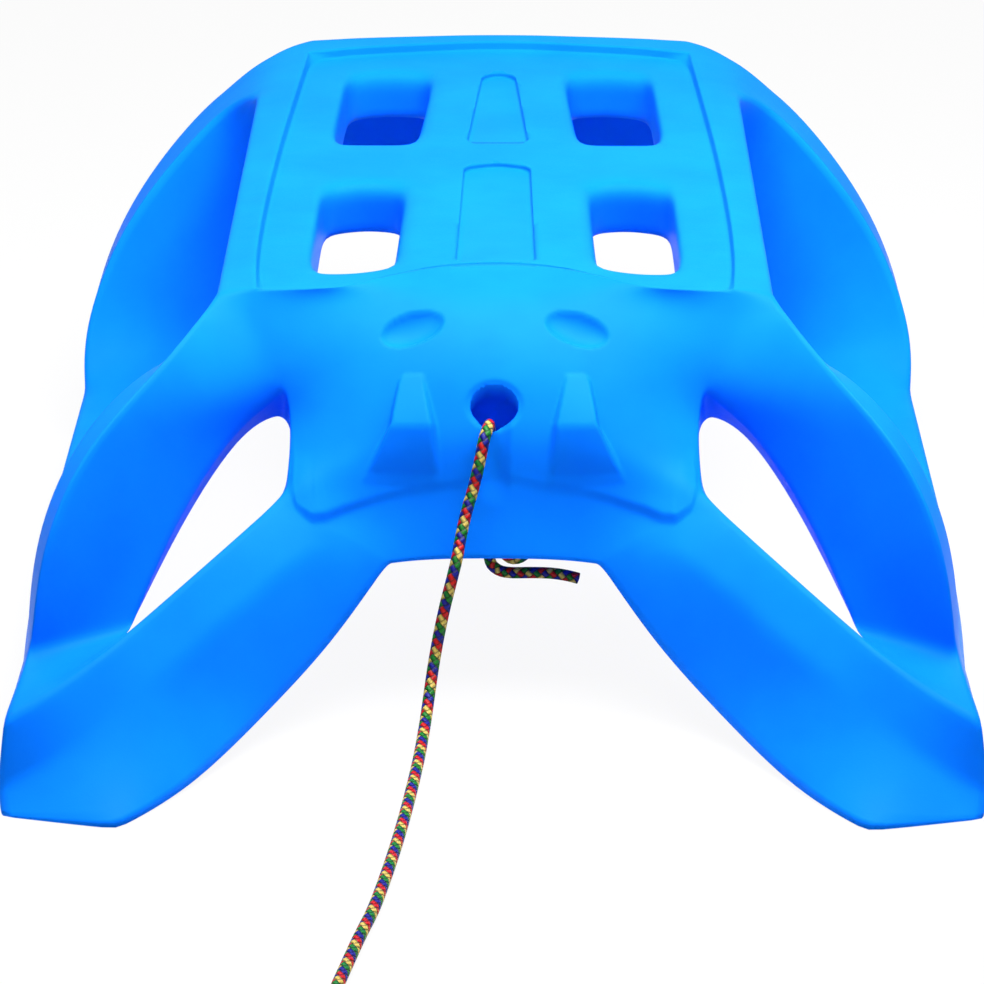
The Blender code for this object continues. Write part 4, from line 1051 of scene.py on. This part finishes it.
BADGE_DEPTH = 3.2
BADGE_CORNER = 7.0
BADGE_FOOT = 1.8
BADGE_ARCH = 9.0
REAR_BADGE = ((12.0, 762.0), (21.0, 602.0))
FRONT_BADGE = ((22.0, 548.0), (25.0, 352.0))


def soften(shape, edges, size, segments):
    """Round some edges off by a size in millimetres."""
    bmesh.ops.bevel(shape, geom=edges, offset=size * MM, segments=segments, affect="EDGES",
                    profile=0.5, material=-1)


def badge_cutter(name, corners):
    """A shallow recess in the seat panel, with an arched rear end and a soft foot."""
    (narrow, rear), (wide, front) = corners
    low = DECK_TOP - PANEL_DROP - BADGE_DEPTH
    shape = bmesh.new()
    outline = [(-narrow, rear), (0.0, rear + BADGE_ARCH), (narrow, rear), (wide, front), (-wide, front)]
    face = shape.faces.new([shape.verts.new(place((x, y, low))) for x, y in outline])
    rise = bmesh.ops.extrude_face_region(shape, geom=[face])
    top = [item for item in rise["geom"] if isinstance(item, bmesh.types.BMVert)]
    bmesh.ops.translate(shape, verts=top, vec=(0.0, 0.0, 4.0 * BADGE_DEPTH * MM))
    upright = [edge for edge in shape.edges if abs(edge.verts[0].co.z - edge.verts[1].co.z) > MM]
    soften(shape, upright, BADGE_CORNER, 6)
    rim = [edge for edge in shape.edges if max(v.co.z for v in edge.verts) < (low + 0.1) * MM]
    soften(shape, rim, BADGE_FOOT, 3)
    return cutter(name, shape)


# The fine line along the head's rear arc, which thins out at each end, as stops of
# (across, half width, depth)
ARC_LINE = ((0.0, 1.2, 3.2), (76.0, 1.2, 3.2), (86.0, 0.3, 0.6))
ARC_ENDS = 287.0
ARC_BOW = 46.0
ARC_HALF_WIDTH = 92.0
ARC_STEPS = 104


def arc_cutter():
    shape = bmesh.new()
    rows = []
    for step in range(ARC_STEPS + 1):
        x = ARC_LINE[-1][0] * (2.0 * step / ARC_STEPS - 1.0)
        half = float(read_line([stop[:2] for stop in ARC_LINE], abs(x)))
        depth = float(read_line([(stop[0], stop[2]) for stop in ARC_LINE], abs(x)))
        y = ARC_ENDS + ARC_BOW * max(0.0, 1.0 - (x / ARC_HALF_WIDTH) ** 2)
        top = DECK_TOP + 8.0
        low = DECK_TOP - depth
        spots = ((y - half, top), (y + half, top), (y + half * 0.8, low), (y - half * 0.8, low))
        rows.append([shape.verts.new(place((x, across, height))) for across, height in spots])
    for first, second in zip(rows, rows[1:]):
        for spot in range(4):
            after = (spot + 1) % 4
            shape.faces.new((first[spot], first[after], second[after], second[spot]))
    shape.faces.new(rows[0])
    shape.faces.new(rows[-1])
    return cutter("arc_line", shape)


def cut_away(mesh, cutters):
    """Cut pieces out of a closed mesh, one after another, and return what is left."""
    body = add_object("body", mesh)
    for piece in cutters:
        step = body.modifiers.new(piece.name, "BOOLEAN")
        step.operation = "DIFFERENCE"
        step.object = piece
    view = bpy.context.evaluated_depsgraph_get()
    result = bpy.data.meshes.new_from_object(body.evaluated_get(view))
    for piece in [body] + cutters:
        bpy.data.objects.remove(piece)
    return result


def smooth_cage():
    """The whole hull's smooth skin, from the half cage."""
    cage = Cage()
    add_slab(cage)
    add_slot_walls(cage)
    add_skirt(cage)
    add_beam(cage)
    add_arm(cage)
    add_runner(cage)
    add_leg(cage)
    hold_edges(cage)
    half = add_object("half", cage.finish("half"))
    mirror = half.modifiers.new("mirror", "MIRROR")
    mirror.merge_threshold = 0.0001
    mirror.use_clip = True
    smooth = half.modifiers.new("subdivide", "SUBSURF")
    smooth.levels = SMOOTH_LEVELS
    smooth.render_levels = SMOOTH_LEVELS
    view = bpy.context.evaluated_depsgraph_get()
    mesh = bpy.data.meshes.new_from_object(half.evaluated_get(view))
    bpy.data.objects.remove(half)
    return mesh


def refine_face(mesh):
    """Split the faces round the ridges and the rope hole once more, to carry their edges."""
    shape = bmesh.new()
    shape.from_mesh(mesh)
    near = set()
    for face in shape.faces:
        spot = face.calc_center_median() / MM + Vector((0.0, HALF_LENGTH, 0.0))
        from_hole = spot - Vector(HOLE_CENTRE)
        beside = abs(from_hole.x) < FINE_HALF_WIDTH and FINE_TOP < from_hole.dot(FACE_DOWN) < FINE_BOTTOM
        outside = from_hole.dot(FACE_OUT) > -FINE_DEPTH and face.normal.dot(FACE_OUT) > FINE_FACING
        if beside and outside:
            near.update(face.edges)
    bmesh.ops.subdivide_edges(shape, edges=list(near), cuts=1, use_grid_fill=True)
    shape.to_mesh(mesh)
    shape.free()


def build_hull(surface):
    mesh = smooth_cage()
    refine_face(mesh)
    carve_face(mesh)
    cutters = [
        badge_cutter("rear_badge", REAR_BADGE), badge_cutter("front_badge", FRONT_BADGE), arc_cutter(),
        round_cutter("rope_bore", ROPE_BORE_RADIUS, -1.0, HOLE_LENGTH, HOLE_SLOPE, ROPE_BORE_ASIDE),
        round_cutter("hole_mouth", HOLE_MOUTH_RADIUS, -HOLE_REACH, HOLE_MOUTH_DEPTH, FACE_SLOPE, 0.0,
                     HOLE_MOUTH_SQUASH),
    ]
    mesh = cut_away(mesh, cutters)
    mesh.materials.clear()
    mesh.materials.append(surface)
    mesh.shade_smooth()
    hull = add_object("hull_moulding", mesh)
    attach(hull, "root")
    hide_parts("sled_body")
    return hull


def lay_rope(surface):
    """The whole rope, as three sweeps whose braid runs on from one to the next."""
    stopper, free, last = rope_routes()
    stopper_length = sum((b - a).length for a, b in zip(stopper, stopper[1:])) * MM
    stopper_piece = cord_mesh("stopper_knot_braid", list(stopper), -stopper_length, surface)[0]
    rope_piece, rope_line, rope_end = cord_mesh("tow_rope_braid", free, 0.0, surface)
    end_piece = cord_mesh("end_knot_braid", last, rope_end, surface)[0]
    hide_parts("stopper_knot")
    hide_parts("tow_rope", "rope_coil")
    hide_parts("end_knot")


def soft_lamp(name, spot, aim, size, power):
    lamp = bpy.data.lights.new(name, "AREA")
    lamp.shape = "RECTANGLE"
    lamp.size, lamp.size_y = size
    lamp.energy = power
    piece = add_object(name, lamp)
    piece.location = spot
    piece.rotation_euler = (Vector(aim) - Vector(spot)).to_track_quat("-Z", "Y").to_euler()


def set_stage():
    """A pale floor and white surroundings, with three soft lamps."""
    shape = bmesh.new()
    bmesh.ops.create_grid(shape, x_segments=1, y_segments=1, size=6.0)
    floor = add_object("floor", mesh_of("floor", shape))
    material, tree, shader = new_material("white_floor")
    shader.inputs["Base Color"].default_value = srgb("#D8D8D8")
    shader.inputs["Roughness"].default_value = 0.9
    shader.inputs["Specular IOR Level"].default_value = 0.1
    path = add_node(tree, "ShaderNodeLightPath")
    share = add_node(tree, "ShaderNodeMath", {0: path.outputs["Is Camera Ray"], 1: FLOOR_GLOW},
                     operation="MULTIPLY")
    glow = add_node(tree, "ShaderNodeEmission", {"Color": srgb("#FFFFFF"), "Strength": 1.0})
    mix = add_node(tree, "ShaderNodeMixShader", {"Fac": share.outputs["Value"], 1: shader.outputs["BSDF"],
                                                 2: glow.outputs["Emission"]})
    output = tree.nodes["Material Output"]
    tree.links.new(mix.outputs["Shader"], output.inputs["Surface"])
    floor.data.materials.append(material)

    world = bpy.data.worlds.new("studio")
    bpy.context.scene.world = world
    world.use_nodes = True
    tree = world.node_tree
    background = tree.nodes["Background"]
    path = add_node(tree, "ShaderNodeLightPath")
    strength = add_node(tree, "ShaderNodeMapRange", {
        "Value": path.outputs["Is Camera Ray"], "To Min": WORLD_LEVEL, "To Max": 1.0})
    background.inputs["Color"].default_value = srgb("#FFFFFF")
    tree.links.new(strength.outputs["Result"], background.inputs["Strength"])
    soft_lamp("overhead", (0.02, -0.05, 1.35), (0.0, -0.05, 0.15), (1.1, 1.1), OVERHEAD_POWER)
    soft_lamp("right_overhead", (0.36, -0.12, 1.0), (0.3, -0.12, 0.1), (0.5, 0.5), RIGHT_POWER)
    soft_lamp("front_fill", (-0.5, -2.4, 1.3), (0.0, -0.1, 0.1), (1.4, 1.0), FILL_POWER)


HULL_DEEP = "#0876FF"
HULL_PALE = "#0A7CFF"
YARNS = 4
BRAID_LAY = 0.020
YARN_SHIFT = 0.0
YARN_COLOURS = ("#C8100A", "#D6BC58", "#127A20", "#181C8C")
FLOOR_GLOW = 0.93
WORLD_LEVEL = 0.2
OVERHEAD_POWER = 37.0
RIGHT_POWER = 6.0
FILL_POWER = 1.0

for item in list(bpy.data.objects):
    if item.type in {"CAMERA", "LIGHT"}:
        bpy.data.objects.remove(item)
bpy.context.scene.view_settings.view_transform = "Standard"
set_camera()
lay_rope(braided_cord())
build_hull(blue_polyethylene())
set_stage()
